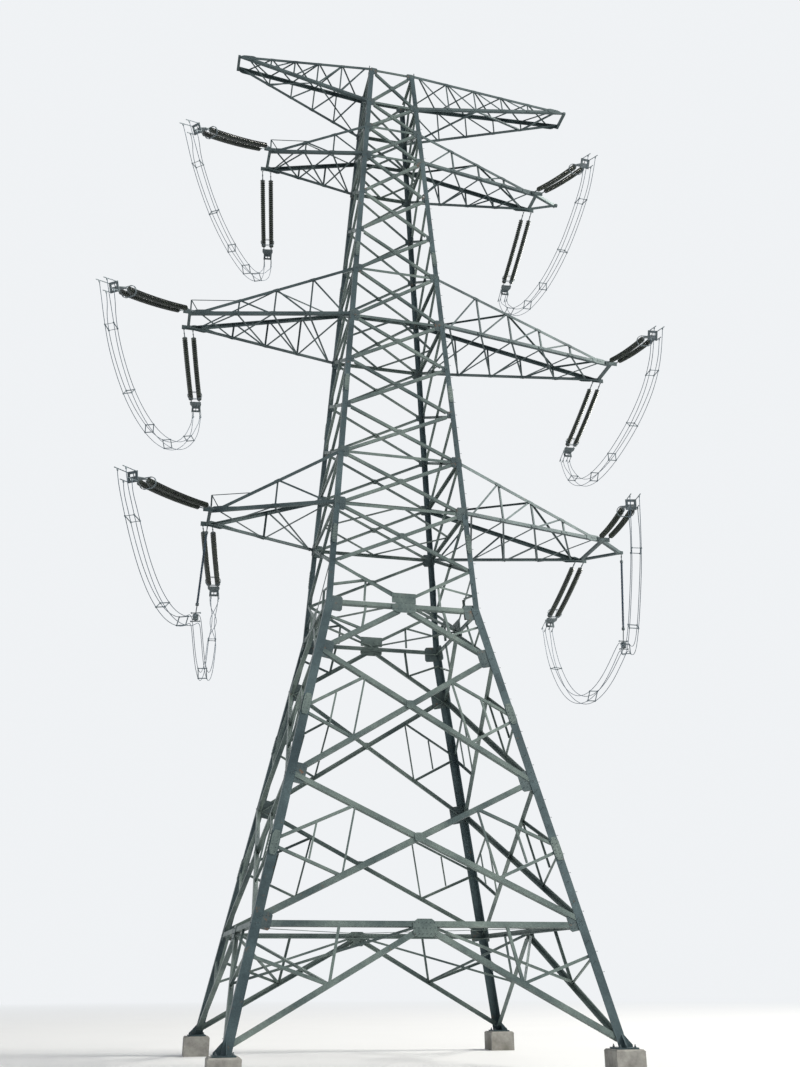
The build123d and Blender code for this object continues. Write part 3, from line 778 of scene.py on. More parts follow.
# The yoke plate: wide where the strings end, narrow at the frame, with a recess on both sides.
def makeYoke():
    width, length = pair["yokeWidth"], fittings["yoke"]
    bend = length * pair["yokeBend"]
    plate = addBox((0, 0, length / 2), (width, pair["yokeThick"], length))
    editAll()
    bpy.ops.mesh.bisect(plane_co=(0, 0, bend), plane_no=(0, 0, 1))
    selectFaces(plate, lambda face: face.normal.z > 0.9)
    bpy.ops.transform.resize(value=(pair["yokeNarrow"], 1, 1), center_override=(0, 0, length))
    selectFaces(plate, lambda face: abs(face.normal.y) > 0.9 and face.center.z < bend)
    rim, depth = pair["yokeRecess"]
    bpy.ops.mesh.inset(thickness=rim, depth=depth, use_individual=True)
    bpy.ops.object.mode_set(mode="OBJECT")
    return bake(plate, "fittingSteel")


# The square frame that spreads the four wires, open in the middle.
def makeSpreader():
    deselectAll()
    bpy.ops.mesh.primitive_plane_add(size=pair["frameSize"])
    plate = bpy.context.object
    editAll()
    bpy.ops.mesh.inset(thickness=pair["frameRim"])
    bpy.ops.mesh.delete(type="FACE")
    bpy.ops.mesh.select_all(action="SELECT")
    extrude(0, 0, pair["frameThick"])
    closeEdit()
    return bake(plate, "fittingSteel")


# A dead-end clamp: a pressed sleeve that narrows to its nose, with a lug for the jumper on its lower side.
def makeClamp(length, lugPlace):
    radius = pair["clampRadius"]
    mouth, body = radius * pair["clampMouth"], radius * pair["clampBody"]
    end, grip, neck = pair["clampRises"]
    steps = [(end, radius), (grip, radius), (neck, body), (length - 2 * (end + grip + neck), body)]
    steps += [(neck, radius), (grip, radius), (end, pair["noseRadius"])]
    sleeve = turned(mouth, steps, 10, "ringAlloy")
    wide, thick, tall = pair["lug"]
    lug = addBox((0, -tall / 2, lugPlace), (thick * 2, tall, wide))
    bpy.ops.object.modifier_add(type="BEVEL")
    lug.modifiers["Bevel"].width = pair["lugEdge"]
    lug.modifiers["Bevel"].segments = 1
    bake(lug, "ringAlloy")
    return joinAs("clamp", [sleeve, lug])


# One string of discs, which sags a little between its ends.
def bentStack(side):
    pitch = fittings["stack"] / disc["count"]
    length = pitch * disc["count"]
    discs = []
    for count in range(disc["count"]):
        start = pitch * count
        drop = -4 * pair["sag"] * (start / length) * (1 - start / length)
        slope = -4 * pair["sag"] * (1 - 2 * start / length) / length
        turn = Matrix.Rotation(-math.atan(slope), 4, "X")
        discs.append(copyOf(discMaster, Matrix.Translation((side, drop, start)) @ turn))
    return discs


def buildPair():
    rod = makeRod(*pair["rod"], "fittingSteel")
    end = fittings["stack"] + fittings["tail"]
    frameStart = end + fittings["yoke"]
    half = fittings["bundle"] / 2
    pieces = []
    for hand in (-0.5, 0.5):
        side = hand * fittings["stringSpacing"]
        pieces += bentStack(side)
        start = Vector((side, 0, fittings["stack"] - pair["tailBack"]))
        pieces.append(copyOf(rod, along(start, Vector((side, 0, end + pair["tailOn"])), sideways)))
        shackleEnd = Matrix.Translation((side, 0, end + pair["shackleEnd"]))
        pieces.append(copyOf(shackle, shackleEnd @ Matrix.Rotation(math.pi, 4, "X")))
    yoke = makeYoke()
    spreader = makeSpreader()
    yoke.data.transform(Matrix.Translation((0, 0, end)))
    spreader.data.transform(Matrix.Translation((0, 0, frameStart)))
    pieces += [yoke, spreader]
    for spread in (-1, 1):
        start = Vector((0, 0, frameStart - pair["armBack"]))
        finish = Vector((0, spread * half, frameStart + pair["armOn"]))
        pieces.append(copyOf(rod, along(start, finish, sideways)))
    for up, length, reach in (
        (-1, pair["clampLower"], fittings["lowerLug"]),
        (1, pair["clampUpper"], fittings["upperLug"]),
    ):
        clamp = makeClamp(length, reach)
        for right in (-1, 1):
            pieces.append(copyOf(clamp, Matrix.Translation((right * half, up * half, frameStart))))
        discard(clamp)
    ring = makeRing()
    ringPlace = fittings["stack"] - pair["ringBack"]
    for back in (0, pair["ringPitch"]):
        pieces.append(copyOf(ring, Matrix.Translation((0, 0, ringPlace - back))))
    seatSide, seatOn = pair["ringSeat"]
    for side in (-1, 1):
        for up in (-1, 1):
            start = Vector((side * seatSide, 0, end + seatOn))
            finish = Vector((side * pair["ringStraight"], up * pair["ringHeight"] / 2, ringPlace))
            pieces.append(copyOf(thinRod, along(start, finish, sideways)))
    discard(rod, ring)
    return joinAs("pairMaster", pieces)


def addPair(name, lines):
    spread = lines["above"].cross(lines["along"])
    turn = Matrix((spread, lines["above"], lines["along"])).transposed().to_4x4()
    begin = lines["anchor"] + lines["along"] * fittings["link"]
    outward = Vector((0, lines["face"], 0))
    near, far = pair["firstStrap"]
    pieces = [copyOf(pairMaster, Matrix.Translation(begin) @ turn)]
    for hand in (-0.5, 0.5):
        hole = lines["anchor"] + sideways * (hand * fittings["stringSpacing"])
        finish = begin + lines["across"] * (hand * fittings["stringSpacing"])
        run = (finish - hole).normalized()
        pieces.append(copyOf(shackle, along(hole + run * pair["shackleLeg"], finish, sideways, False)))
        pieces.append(copyOf(strap, along(hole + run * near, hole + run * far, lines["above"])))
        start = hole + run * pair["secondStrap"]
        pieces.append(copyOf(strap, along(start, finish + run * pair["eyeOver"], outward.cross(run))))
    dressed = joinAs(f"insulators_{name}", pieces)
    settle(dressed)
    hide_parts(f"strings_{name}")


discMaster = makeDisc()
shackle = makeShackle()
strap = makeStrap(pair["linkThick"], "fittingSteel")
thinRod = makeRod(*pair["thinRod"], "ringAlloy")
pairMaster = buildPair()
for name in circuits:
    nearLines, farLines = bothEnds(name)
    addPair(f"near_{name}", nearLines)
    addPair(f"far_{name}", farLines)
discard(pairMaster)
print("insulators strung")


# Slender insulators that hold the lower jumpers, with a weight and grips below them.
# A place is the top, the middle of the weight, and a point of the jumper before and after it.
support = {
    "link": 0.02,
    "length": 0.205,
    "rod": 0.0016,
    "bigShed": 0.0036,
    "smallShed": 0.0028,
    "shedRises": (0.0006, 0.0002, 0.0003),
    "shedGap": 0.18,
    "pitch": 0.0041,
    "sides": 12,
    "overlap": 0.001,
    "secondShackle": 0.01,
    "strapStart": 0.004,
    "cap": (0.003, [(0.001, 0.0044), (0.006, 0.0044), (0.002, 0.0024)], 12),
    "grip": (0.0014, [(0.0005, 0.0019), (0.004, 0.0019), (0.0005, 0.0014)], 10),
    "gripBack": 0.0025,
    "stem": (0.0013, 10),
    "weightRadius": 0.0074,
    "weightHeight": 0.015,
    "weightEdge": 0.0006,
    "weightEnd": 0.9,
    "weightSides": 20,
    "places": {
        "left": ((-0.474, 0.045, 1.235), (-0.488, 0.045, 0.979), (-0.508, -0.003), (-0.479, 0.094)),
        "right": ((0.681, 0, 1.235), (0.664, 0, 0.967), (0.652, -0.036), (0.662, 0.046)),
    },
}


# One big shed and one small one
def makeSheds():
    core = support["rod"]
    gap = support["pitch"] * support["shedGap"]
    rise, edge, fall = support["shedRises"]
    steps = []
    for shed in (support["bigShed"], support["smallShed"]):
        steps += [(gap, core), (rise, shed), (edge, shed), (fall, core)]
        steps += [(support["pitch"] * 0.5 - (rise + edge + fall) - gap, core)]
    return turned(core, steps, support["sides"], "silicone")


# One of the three slabs of the weight
def makeSlab():
    radius, edge = support["weightRadius"], support["weightEdge"]
    end = radius * support["weightEnd"]
    rise = support["weightHeight"] / 3 - 2 * edge
    steps = [(edge, radius), (rise, radius), (edge, end)]
    return turned(end, steps, support["weightSides"], "fittingSteel", 30)


def addSupport(name, top, held, before, after):
    top, weight = aboveGround(top), aboveGround(held)
    down = (weight - top).normalized()
    level = Vector((after[0] - before[0], after[1] - before[1], 0)).normalized()
    side = level.cross(upwards)
    half = fittings["bundle"] / 2
    begin = top + down * support["link"]
    finish = begin + down * support["length"]
    overlap = down * support["overlap"]
    cap = turned(*support["cap"], "fittingSteel")
    sheds = makeSheds()
    pieces = [
        copyOf(shackle, along(top - overlap, begin, side, False)),
        copyOf(shackle, along(top + down * support["secondShackle"], begin, side.cross(down), False)),
        copyOf(strap, along(top + down * support["strapStart"], begin, side)),
        copyOf(cap, along(begin - overlap, finish, side, False)),
        copyOf(cap, along(finish + overlap, begin, side, False)),
        copyOf(strap, along(finish - overlap, weight + upwards * half, side)),
    ]
    for count in range(int(support["length"] / support["pitch"])):
        start = begin + down * support["pitch"] * count
        pieces.append(copyOf(sheds, along(start, finish, side, False)))
    slab = makeSlab()
    for place in (-1.5, -0.5, 0.5):
        rise = place * (support["weightHeight"] / 3)
        pieces.append(copyOf(slab, Matrix.Translation(weight + upwards * rise)))
    stem = makeRod(*support["stem"], "fittingSteel")
    grip = turned(*support["grip"], "ringAlloy")
    pieces.append(copyOf(stem, along(weight - upwards * half, weight + upwards * half, side)))
    for up in (-half, half):
        middle = weight + upwards * up
        pieces.append(copyOf(stem, along(middle - side * half, middle + side * half, level)))
        for right in (-half, half):
            corner = middle + side * right
            start = corner - level * support["gripBack"]
            pieces.append(copyOf(grip, along(start, corner + level, side, False)))
    discard(cap, sheds, slab, stem, grip)
    dressed = joinAs(f"support_insulator_{name}", pieces)
    settle(dressed)
    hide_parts(f"support_string_{name}")


for name, places in support["places"].items():
    addSupport(name, *places)
print("supports hung")


# Frames that keep the four wires of a jumper apart, at shares of its length
spacer = {
    "clamp": 0.0021,
    "clampLength": 0.0042,
    "clampEdge": 0.0004,
    "clampMouth": 0.7,
    "bar": 0.0024,
    "barThick": 0.0011,
    "shares": {
        "lower_left": (0.09, 0.3, 0.4, 0.67, 0.88),
        "lower_right": (0.1, 0.28, 0.45, 0.66, 0.88),
        "middle_left": (0.105, 0.3, 0.48, 0.64, 0.87),
        "middle_right": (0.11, 0.3, 0.48, 0.65, 0.88),
        "upper_left": (0.115, 0.3, 0.49, 0.66, 0.8),
        "upper_right": (0.125, 0.31, 0.5, 0.66, 0.88),
    },
}


def addSpacers(name):
    radius, length, edge = spacer["clamp"], spacer["clampLength"], spacer["clampEdge"]
    mouth = radius * spacer["clampMouth"]
    steps = [(edge, radius), (length - 2 * edge, radius), (edge, mouth)]
    clamp = turned(mouth, steps, 10, "ringAlloy")
    bar = makeFlat(spacer["barThick"], spacer["bar"], "ringAlloy")
    pieces = []
    for share in spacer["shares"][name]:
        corners = []
        for right, up in ((-0.5, -0.5), (0.5, -0.5), (0.5, 0.5), (-0.5, 0.5)):
            place, run = pointAt(jumperLines[name, right, up], share)
            corners.append(place)
            start = place - run * length / 2
            pieces.append(copyOf(clamp, along(start, place + run, run.cross(upwards), False)))
        for start, end in zip(corners, corners[1:] + corners[:1]):
            pieces.append(copyOf(bar, along(start, end, run)))
    discard(clamp, bar)
    frames = joinAs(f"spacers_{name}", pieces)
    settle(frames)
    return frames


for name, plan in jumpers.items():
    addSpacers(name)
print("spacers clamped")

# Lattice detail. The master angle is one unit wide and the master plates are one unit square.
masterShapes = {"angleThick": 0.16, "gussetCorner": 0.2, "jointCorner": 0.12}
# The master bars and plates take the bracing steel, made paler and greener as painted sunlight.
angleBar = makeAngle(masterShapes["angleThick"], "bracingSteelPaintedSun")
flatBar = makeFlat(1, 1, "bracingSteelPaintedSun")
boltHead = makeBolt()


# A plate with cut corners, one unit square and one unit thick.
def makeGusset(corner, finish):
    deselectAll()
    bpy.ops.mesh.primitive_plane_add(size=1)
    plate = bpy.context.object
    editAll()
    bpy.ops.mesh.bevel(offset=corner, affect="VERTICES")
    bpy.ops.mesh.select_all(action="SELECT")
    extrude(0, 0, 1)
    closeEdit()
    return bake(plate, finish)


gussetPlate = makeGusset(masterShapes["gussetCorner"], "bracingSteelPaintedSun")
jointPlate = makeGusset(masterShapes["jointCorner"], "plateSteel")


def sized(master, matrix, x, y, z=1):
    return copyOf(master, matrix @ Matrix.Diagonal((x, y, z, 1)))


# An angle whose outer leg lies across inward and whose other leg points inward.
def addBar(pieces, start, end, inward, size):
    pieces.append(sized(angleBar, along(start, end, inward.cross(end - start)), size, size))


# A plate that lies on a face, its long side along run.
def addGusset(pieces, middle, outward, run, length, width, thick, plate=None):
    place = along(middle, middle + outward, run, False)
    pieces.append(sized(plate or gussetPlate, place, length, width, thick))


def addBolt(pieces, place, outward):
    pieces.append(copyOf(boltHead, along(place, place + outward, upwards, False)))


# A point of the front face, across from its middle and a depth behind it.
def facePoint(across, level, depth=0.0):
    return Vector((across, -halfWidth(level) + depth, level + tower["footLevel"]))


# A point of the front face, inward from the edge of a leg.
def legPoint(side, level, inset, depth=0.0):
    return facePoint(side * (halfWidth(level) - inset), level, depth)


# Shares of a joint plate's length and width, and the rise that gives the direction of the leg.
jointBolts = {"rows": (-0.3, 0, 0.3), "columns": (0.12, 0.34), "rise": 0.1}


# The plate where bars meet a leg, with its bolts beside the leg.
def addJoint(pieces, bolts, side, level, inset, depth, outward, sizes):
    length, width, thick = sizes
    centre = legPoint(side, level, inset, depth)
    run = (legPoint(side, level + jointBolts["rise"], inset) - legPoint(side, level, inset)).normalized()
    addGusset(pieces, centre, outward, run, length, width, thick, jointPlate)
    across = outward.cross(run) * (1 if outward.cross(run).x * side < 0 else -1)
    for row in jointBolts["rows"]:
        for column in jointBolts["columns"]:
            place = centre + run * (row * length) + across * (column * width)
            addBolt(bolts, place + outward * thick, outward)


def aroundTower(name, pieces):
    joined = joinAs(name, pieces)
    turns = [Matrix.Rotation(math.radians(90 * count), 4, "Z") for count in (1, 2, 3)]
    settle(joinAs(name, [joined] + [copyOf(joined, turn) for turn in turns]))


# A piece for each face of the body, in place of that face's node.
def onEachFace(name, pieces, node):
    joined = joinAs(name, pieces)
    for count, side in enumerate(("front", "right", "back", "left")):
        face = copyOf(joined, Matrix.Rotation(math.radians(90 * count), 4, "Z"))
        face.name = face.data.name = f"{name}_{side}"
        settle(face)
        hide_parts(f"{node}_{side}")
    discard(joined)


# An angle flat on the front face, its middle line from start to end and its other leg inward below.
def addFaceBar(pieces, start, end, outward, size):
    if start.x < end.x:
        start, end = end, start
    drop = outward.cross(end - start).normalized() * (size / 2)
    addBar(pieces, start + drop, end + drop, -outward, size)


# A joint is a level with the length, width and thickness of its plate.
upperFace = {
    "levels": (
        tower["shoulder"], 1.235, 1.387, 1.533, 1.679, 1.825, 1.991, 2.1373, 2.2837, 2.43, 2.548,
        2.654, 2.792,
    ),
    "joints": (
        (1.235, 0.036, 0.03, 0.0025), (1.387, 0.03, 0.026, 0.0025), (1.533, 0.02, 0.018, 0.002),
        (1.679, 0.02, 0.018, 0.002), (1.825, 0.034, 0.028, 0.0025), (1.991, 0.028, 0.024, 0.0025),
        (2.1373, 0.018, 0.017, 0.002), (2.2837, 0.018, 0.017, 0.002), (2.43, 0.03, 0.026, 0.0025),
        (2.548, 0.026, 0.022, 0.0025), (2.654, 0.026, 0.022, 0.0025), (2.79, 0.024, 0.022, 0.0025),
    ),
    "jointInset": 0.0135,
    "jointLift": 0.0003,
    "seat": 0.0087,
    "skin": 0.0022,
    "half": 0.0035,
    "finDepth": 0.006,
    "finThick": 0.001,
    "cope": 0.017,
    "plate": 0.015,
    "plateThick": 0.0009,
    "plateSink": 0.0002,
    "plateBolt": 0.003,
    "outward": Vector((0, -1, 0)),
    "boltPitch": 0.0045,
    "boltCounts": (0.3, 1.3),
}


def alongBar(start, end, distance):
    return start + (end - start).normalized() * distance


# The plate where two bars above the waist cross, with its bolts.
def addCrossingPlate(pieces, bolts, low, high):
    outward, thick, reach = upperFace["outward"], upperFace["plateThick"], upperFace["plateBolt"]
    wide, narrow = halfWidth(low) - upperFace["seat"], halfWidth(high) - upperFace["seat"]
    depth = upperFace["skin"] / 2 - upperFace["plateSink"]
    crossing = facePoint(0, low + (high - low) * wide / (wide + narrow), depth)
    addGusset(pieces, crossing, outward, upwards, upperFace["plate"], upperFace["plate"], thick)
    for across in (-reach, reach):
        for rise in (-reach, reach):
            addBolt(bolts, crossing + Vector((across, -thick, rise)), outward)


# Second legs of the crossed bars above the waist, a plate at each crossing and bolts at their ends.
def addUpperDetail():
    levels, outward, cope = upperFace["levels"], upperFace["outward"], upperFace["cope"]
    thick, deep = upperFace["finThick"], upperFace["finDepth"]
    inward = Vector((0, upperFace["skin"] + deep / 2, 0))
    pieces, bolts = [], []
    for low, high in zip(levels, levels[1:]):
        for side in (-1, 1):
            foot = legPoint(side, low, upperFace["seat"])
            head = legPoint(-side, high, upperFace["seat"])
            run = (head - foot).normalized()
            lower = Vector((run.z, 0, -run.x)) * (upperFace["half"] * (1 if run.x > 0 else -1))
            start = alongBar(foot, head, cope) + lower + inward
            end = alongBar(head, foot, cope) + lower + inward
            pieces.append(sized(flatBar, along(start, end, lower), thick, deep))
            for place, other in ((foot, head), (head, foot)):
                for count in upperFace["boltCounts"]:
                    addBolt(bolts, alongBar(place, other, count * upperFace["boltPitch"]), outward)
        addCrossingPlate(pieces, bolts, low, high)
    depth = upperFace["skin"] + upperFace["jointLift"]
    for level, *sizes in upperFace["joints"]:
        for side in (-1, 1):
            addJoint(pieces, bolts, side, level, upperFace["jointInset"], depth, outward, sizes)
    aroundTower("upper_bracing_ribs", pieces)
    aroundTower("upper_bracing_bolts", bolts)


# A girt gusset is its lowest and highest level and its width; a leg plate its level, length and width.
# A tie halves a V bar: level and inset of the bar's end at the leg, its other end at the middle,
# the level that sets the girt's quarter and its level there, and the level of the other tie at the leg.
lowerFace = {
    "seat": 0.0124,
    "skin": 0.0014,
    "foot": 0.016,
    "girts": (tower["girt"], 0.9673),
    "crosses": ((0.243, tower["firstCross"]), (tower["firstCross"], tower["secondCross"])),
    "gussets": ((0.206, 0.242, 0.05), (0.949, 1.001, 0.06)),
    "bar": 0.011,
    "strut": 0.006,
    "strutLevel": 0.172,
    "post": 0.0042,
    "setback": 0.005,
    "gap": 0.0001,
    "headGap": 0.011,
    "strutGap": 0.008,
    "crossPlate": (0.019, 0.019, 0.0046),
    "plateInset": 0.024,
    "plateThick": 0.003,
    "plateLift": 0.0028,
    "legPlates": (
        (0.236, 0.034, 0.03),
        (tower["firstCross"], 0.046, 0.038),
        (tower["secondCross"], 0.046, 0.038),
        (0.962, 0.04, 0.034),
    ),
    "tieSize": 0.0055,
    "tieDepth": 0.0022,
    "tieInset": 0.006,
    "ties": (
        ((tower["secondCross"], 0.0124), (0.011, 0.9563), (0.967, 0.967), 0.93),
        ((tower["shoulder"], 0.0087), (0.008, 0.983), (0.98, 0.975), 1.01),
    ),
    "outward": Vector((0, -1, 0.2)).normalized(),
    "boltPitch": 0.006,
    "boltCounts": (-0.4, 0.6, 1.6),
    "boltLift": 0.001,
    "baseBolts": (0.02, 0.05, 0.96),
    "baseTop": 0.221,
    "girtBolts": (0.009, 0.015),
    "gussetRows": (0.2, 0.5, 0.8),
    "gussetColumns": (-0.42, -0.25, -0.08, 0.08, 0.25, 0.42),
}


# Two crossed bars of one panel, with struts to the legs from the middle of each half and light posts.
def addLowerCross(pieces, low, high):
    seat, gap, outward = lowerFace["seat"], lowerFace["gap"], lowerFace["outward"]
    wide, narrow = halfWidth(low) - seat, halfWidth(high) - seat
    share = wide / (wide + narrow)
    inner = lowerFace["skin"] + gap
    middle = (low + high) / 2
    halves = {}
    for side, depth in ((-1, inner), (1, gap)):
        foot, head = legPoint(side, low, seat, depth), legPoint(-side, high, seat, depth)
        addFaceBar(pieces, foot, head, outward, lowerFace["bar"])
        halves[side] = [foot.lerp(head, share / 2), foot.lerp(head, (1 + share) / 2)]
        for hand, rise, meeting in zip((side, -side), (-1, 1), halves[side]):
            end = legPoint(hand, middle + rise * lowerFace["strutGap"], seat, inner)
            addFaceBar(pieces, meeting, end, outward, lowerFace["strut"])
    for side in (-1, 1):
        lower, upper = halves[side][0], halves[-side][1]
        seatPoint = legPoint(side, middle, seat, inner)
        addFaceBar(pieces, lower, upper, outward, lowerFace["post"])
        ends = lower.lerp(seatPoint, 0.5), upper.lerp(seatPoint, 0.5)
        addFaceBar(pieces, *ends, outward, lowerFace["post"])
    length, width, thick = lowerFace["crossPlate"]
    centre = facePoint(0, low + (high - low) * share, inner + thick / 2)
    addGusset(pieces, centre, outward, upwards, length, width, thick)


# The whole of one face below the waist.
def addLowerBars():
    seat, skin, outward, bar = lowerFace["seat"], lowerFace["skin"], lowerFace["outward"], lowerFace["bar"]
    inner = skin + lowerFace["gap"]
    girt, waistGirt = lowerFace["girts"]
    pieces, bolts = [], []
    for level in (girt, waistGirt):
        ends = [legPoint(side, level, lowerFace["setback"], inner) for side in (-1, 1)]
        addFaceBar(pieces, *ends, outward, bar)
    for low, high in lowerFace["crosses"]:
        addLowerCross(pieces, low, high)
    for side in (-1, 1):
        across = side * lowerFace["headGap"]
        foot = legPoint(side, lowerFace["foot"], seat, inner)
        head = facePoint(across, girt - lowerFace["headGap"], inner)
        addFaceBar(pieces, foot, head, outward, bar)
        middle = foot.lerp(head, 0.5)
        for end in (
            facePoint(side * halfWidth(girt) / 2, girt, inner),
            legPoint(side, lowerFace["strutLevel"], seat, inner),
        ):
            addFaceBar(pieces, middle, end, outward, lowerFace["strut"])
        foot = legPoint(side, tower["secondCross"], seat, inner)
        head = facePoint(across, waistGirt - lowerFace["headGap"], inner)
        addFaceBar(pieces, foot, head, outward, bar)
        for level, length, width in lowerFace["legPlates"]:
            sizes = (length, width, lowerFace["plateThick"])
            depth = skin + lowerFace["plateLift"]
            addJoint(pieces, bolts, side, level, lowerFace["plateInset"], depth, outward, sizes)
    for low, high, width in lowerFace["gussets"]:
        top = min(high, tower["waist"])
        addGusset(pieces, facePoint(0, (low + top) / 2, skin), outward, upwards, top - low, width, skin)
    onEachFace("lower_lattice", pieces, "lower_bracing")
    aroundTower("lower_joint_bolts", bolts)


# Light bars that halve the V bars beside the waist girt.
def addLowerTies():
    inside, size = lowerFace["skin"] + lowerFace["tieDepth"], lowerFace["tieSize"]
    pieces = []
    for side in (-1, 1):
        for (legLevel, inset), (across, headLevel), (widthLevel, girtLevel), tieLevel in lowerFace["ties"]:
            foot = legPoint(side, legLevel, inset, inside)
            middle = foot.lerp(facePoint(side * across, headLevel, inside), 0.5)
            for end in (
                facePoint(side * halfWidth(widthLevel) * 0.5, girtLevel, inside),
                legPoint(side, tieLevel, lowerFace["tieInset"], inside),
            ):
                addBar(pieces, middle, end, -lowerFace["outward"], size)
    aroundTower("lower_bracing_ties", pieces)


# Bolts at the ends of the bars and on the gussets of the girts.
def addLowerBolts():
    seat, outward = lowerFace["seat"], lowerFace["outward"]
    bolts = []
    for side in (-1, 1):
        foot = legPoint(side, lowerFace["foot"], seat)
        head = facePoint(side * lowerFace["headGap"], lowerFace["baseTop"])
        for share in lowerFace["baseBolts"]:
            addBolt(bolts, foot.lerp(head, share), outward)
    for low, high in lowerFace["crosses"]:
        for side in (-1, 1):
            foot, head = legPoint(side, low, seat), legPoint(-side, high, seat)
            raised = outward * (lowerFace["boltLift"] if side > 0 else 0)
            for place, other in ((foot, head), (head, foot)):
                for count in lowerFace["boltCounts"]:
                    addBolt(bolts, alongBar(place, other, count * lowerFace["boltPitch"]) + raised, outward)
    for level in lowerFace["girts"]:
        for side in (-1, 1):
            for inset in lowerFace["girtBolts"]:
                addBolt(bolts, legPoint(side, level, inset), outward)
    for low, high, width in lowerFace["gussets"]:
        for row in lowerFace["gussetRows"]:
            for across in lowerFace["gussetColumns"]:
                place = facePoint(across * width, low + (high - low) * row, -lowerFace["gap"])
                addBolt(bolts, place, outward)
    aroundTower("lower_bracing_bolts", bolts)


# A splice is a level and the width of the leg's flange there; the steps have a lowest and a highest level.
legDetail = {
    "splices": ((0.39, 0.02), (0.7, 0.02), (1.15, 0.014), (1.6, 0.014), (2.06, 0.014)),
    "spliceLength": 0.052,
    "spliceWidth": 0.86,
    "spliceThick": 0.0012,
    "spliceRows": (-0.38, -0.22, -0.07, 0.07, 0.22, 0.38),
    "spliceColumns": (-0.22, 0.22),
    "steps": (0.14, 2.75, 0.02),
    "step": (0.0005, [(0.008, 0.0005), (0.0001, 0.0009), (0.0007, 0.0009)], 6),
    "stepInset": 0.009,
    "stepRoot": 0.001,
    "washer": (0.0032, [(0.0005, 0.0032)], 12),
    "nut": (0.0021, [(0.0003, 0.0024), (0.0016, 0.0024), (0.0003, 0.0021)], 6),
    "stud": (0.0012, [(0.0055, 0.0012), (0.0003, 0.0009)], 10),
    "anchor": 0.016,
    "footMiddle": 0.398,
}


# Cover plates where two lengths of leg meet, seen on both flanges.
def addSplices():
    length, thick = legDetail["spliceLength"], legDetail["spliceThick"]
    pieces, bolts = [], []
    for level, flange in legDetail["splices"]:
        lower, upper = level - length / 2, level + length / 2
        low, high = facePoint(-halfWidth(lower), lower), facePoint(-halfWidth(upper), upper)
        middle = low.lerp(high, 0.5)
        run = (high - low).normalized()
        for across, outward in ((sideways, Vector((0, -1, 0))), (Vector((0, 1, 0)), -sideways)):
            centre = middle + across * (flange * 0.5)
            normal = (outward - run * outward.dot(run)).normalized()
            addGusset(pieces, centre, normal, run, length, flange * legDetail["spliceWidth"], thick)
            for row in legDetail["spliceRows"]:
                for column in legDetail["spliceColumns"]:
                    place = centre + run * (row * length) + across * (column * flange)
                    addBolt(bolts, place + normal * thick, normal)
    aroundTower("leg_splices", pieces)
    aroundTower("leg_splice_bolts", bolts)


# Steps for climbing on one leg, by turns on its two flanges.
def addSteps():
    low, high, pitch = legDetail["steps"]
    inset = legDetail["stepInset"]
    step = turned(*legDetail["step"], "fittingSteel")
    pieces = []
    for count in range(int((high - low) / pitch)):
        level = low + pitch * count
        half = halfWidth(level)
        if count % 2:
            place, outward = aboveGround((half - inset, -half, level)), Vector((0, -1, 0))
        else:
            place, outward = aboveGround((half, inset - half, level)), sideways
        root = place - outward * legDetail["stepRoot"]
        pieces.append(copyOf(step, along(root, place + outward, upwards, False)))
    discard(step)
    settle(joinAs("climbing_steps", pieces))


# Holding-down bolts: a washer, a nut and the end of the stud at each corner of a foot plate.
def addAnchors():
    washer = turned(*legDetail["washer"], "fittingSteel", 30)
    nut = turned(*legDetail["nut"], "fittingSteel", 20)
    stud = turned(*legDetail["stud"], "fittingSteel", 30)
    washerThick = legDetail["washer"][1][0][0]
    pieces = []
    for sideX in (-1, 1):
        for sideY in (-1, 1):
            place = Vector((sideX * legDetail["anchor"], sideY * legDetail["anchor"], tower["footLevel"]))
            place -= Vector((legDetail["footMiddle"], legDetail["footMiddle"], 0))
            for master, rise in ((washer, 0), (nut, washerThick), (stud, 0)):
                pieces.append(copyOf(master, Matrix.Translation(place + upwards * rise)))
    discard(washer, nut, stud)
    aroundTower("anchor_bolts", pieces)


# Arms: side, levels of the flat and slant chords at the body, reach, half width at the tip, panels
arms = {
    "lower_arm_left": (-1, 1.235, 1.387, 0.474, 0.045, 2),
    "lower_arm_right": (1, 1.235, 1.387, 0.591, 0.078, 4),
    "middle_arm_left": (-1, 1.825, 1.991, 0.566, 0.036, 4),
    "middle_arm_right": (1, 1.825, 1.991, 0.678, 0.047, 5),
    "upper_arm_left": (-1, 2.43, 2.548, 0.37, 0.04, 3),
    "upper_arm_right": (1, 2.43, 2.548, 0.48, 0.037, 4),
    "peak_arm_left": (-1, 2.8, 2.654, 0.479, 0.026, 5),
    "peak_arm_right": (1, 2.8, 2.654, 0.6, 0.032, 5),
}
armDetail = {
    "first": 0.03,
    "last": 0.93,
    "barSize": 0.0045,
    "inset": 0.0035,
    "postInset": 0.4,
    "laceDrop": 0.0012,
    "plate": (0.02, 0.009, 0.0008),
    "boltPlaces": (-0.35, -0.12, 0.12, 0.35),
    "chord": 0.0045,
    "tipPlate": (0.045, 0.017, 0.001),
}


def onChord(ends, share):
    return ends[0].lerp(ends[1], share)


# A plate on a chord at a panel point, with its bolts.
def addChordPlate(pieces, bolts, centre, normal, run):
    length, width, thick = armDetail["plate"]
    addGusset(pieces, centre, normal, run, length, width, thick)
    for step in armDetail["boltPlaces"]:
        addBolt(bolts, centre + run * (step * length) + normal * thick, normal)


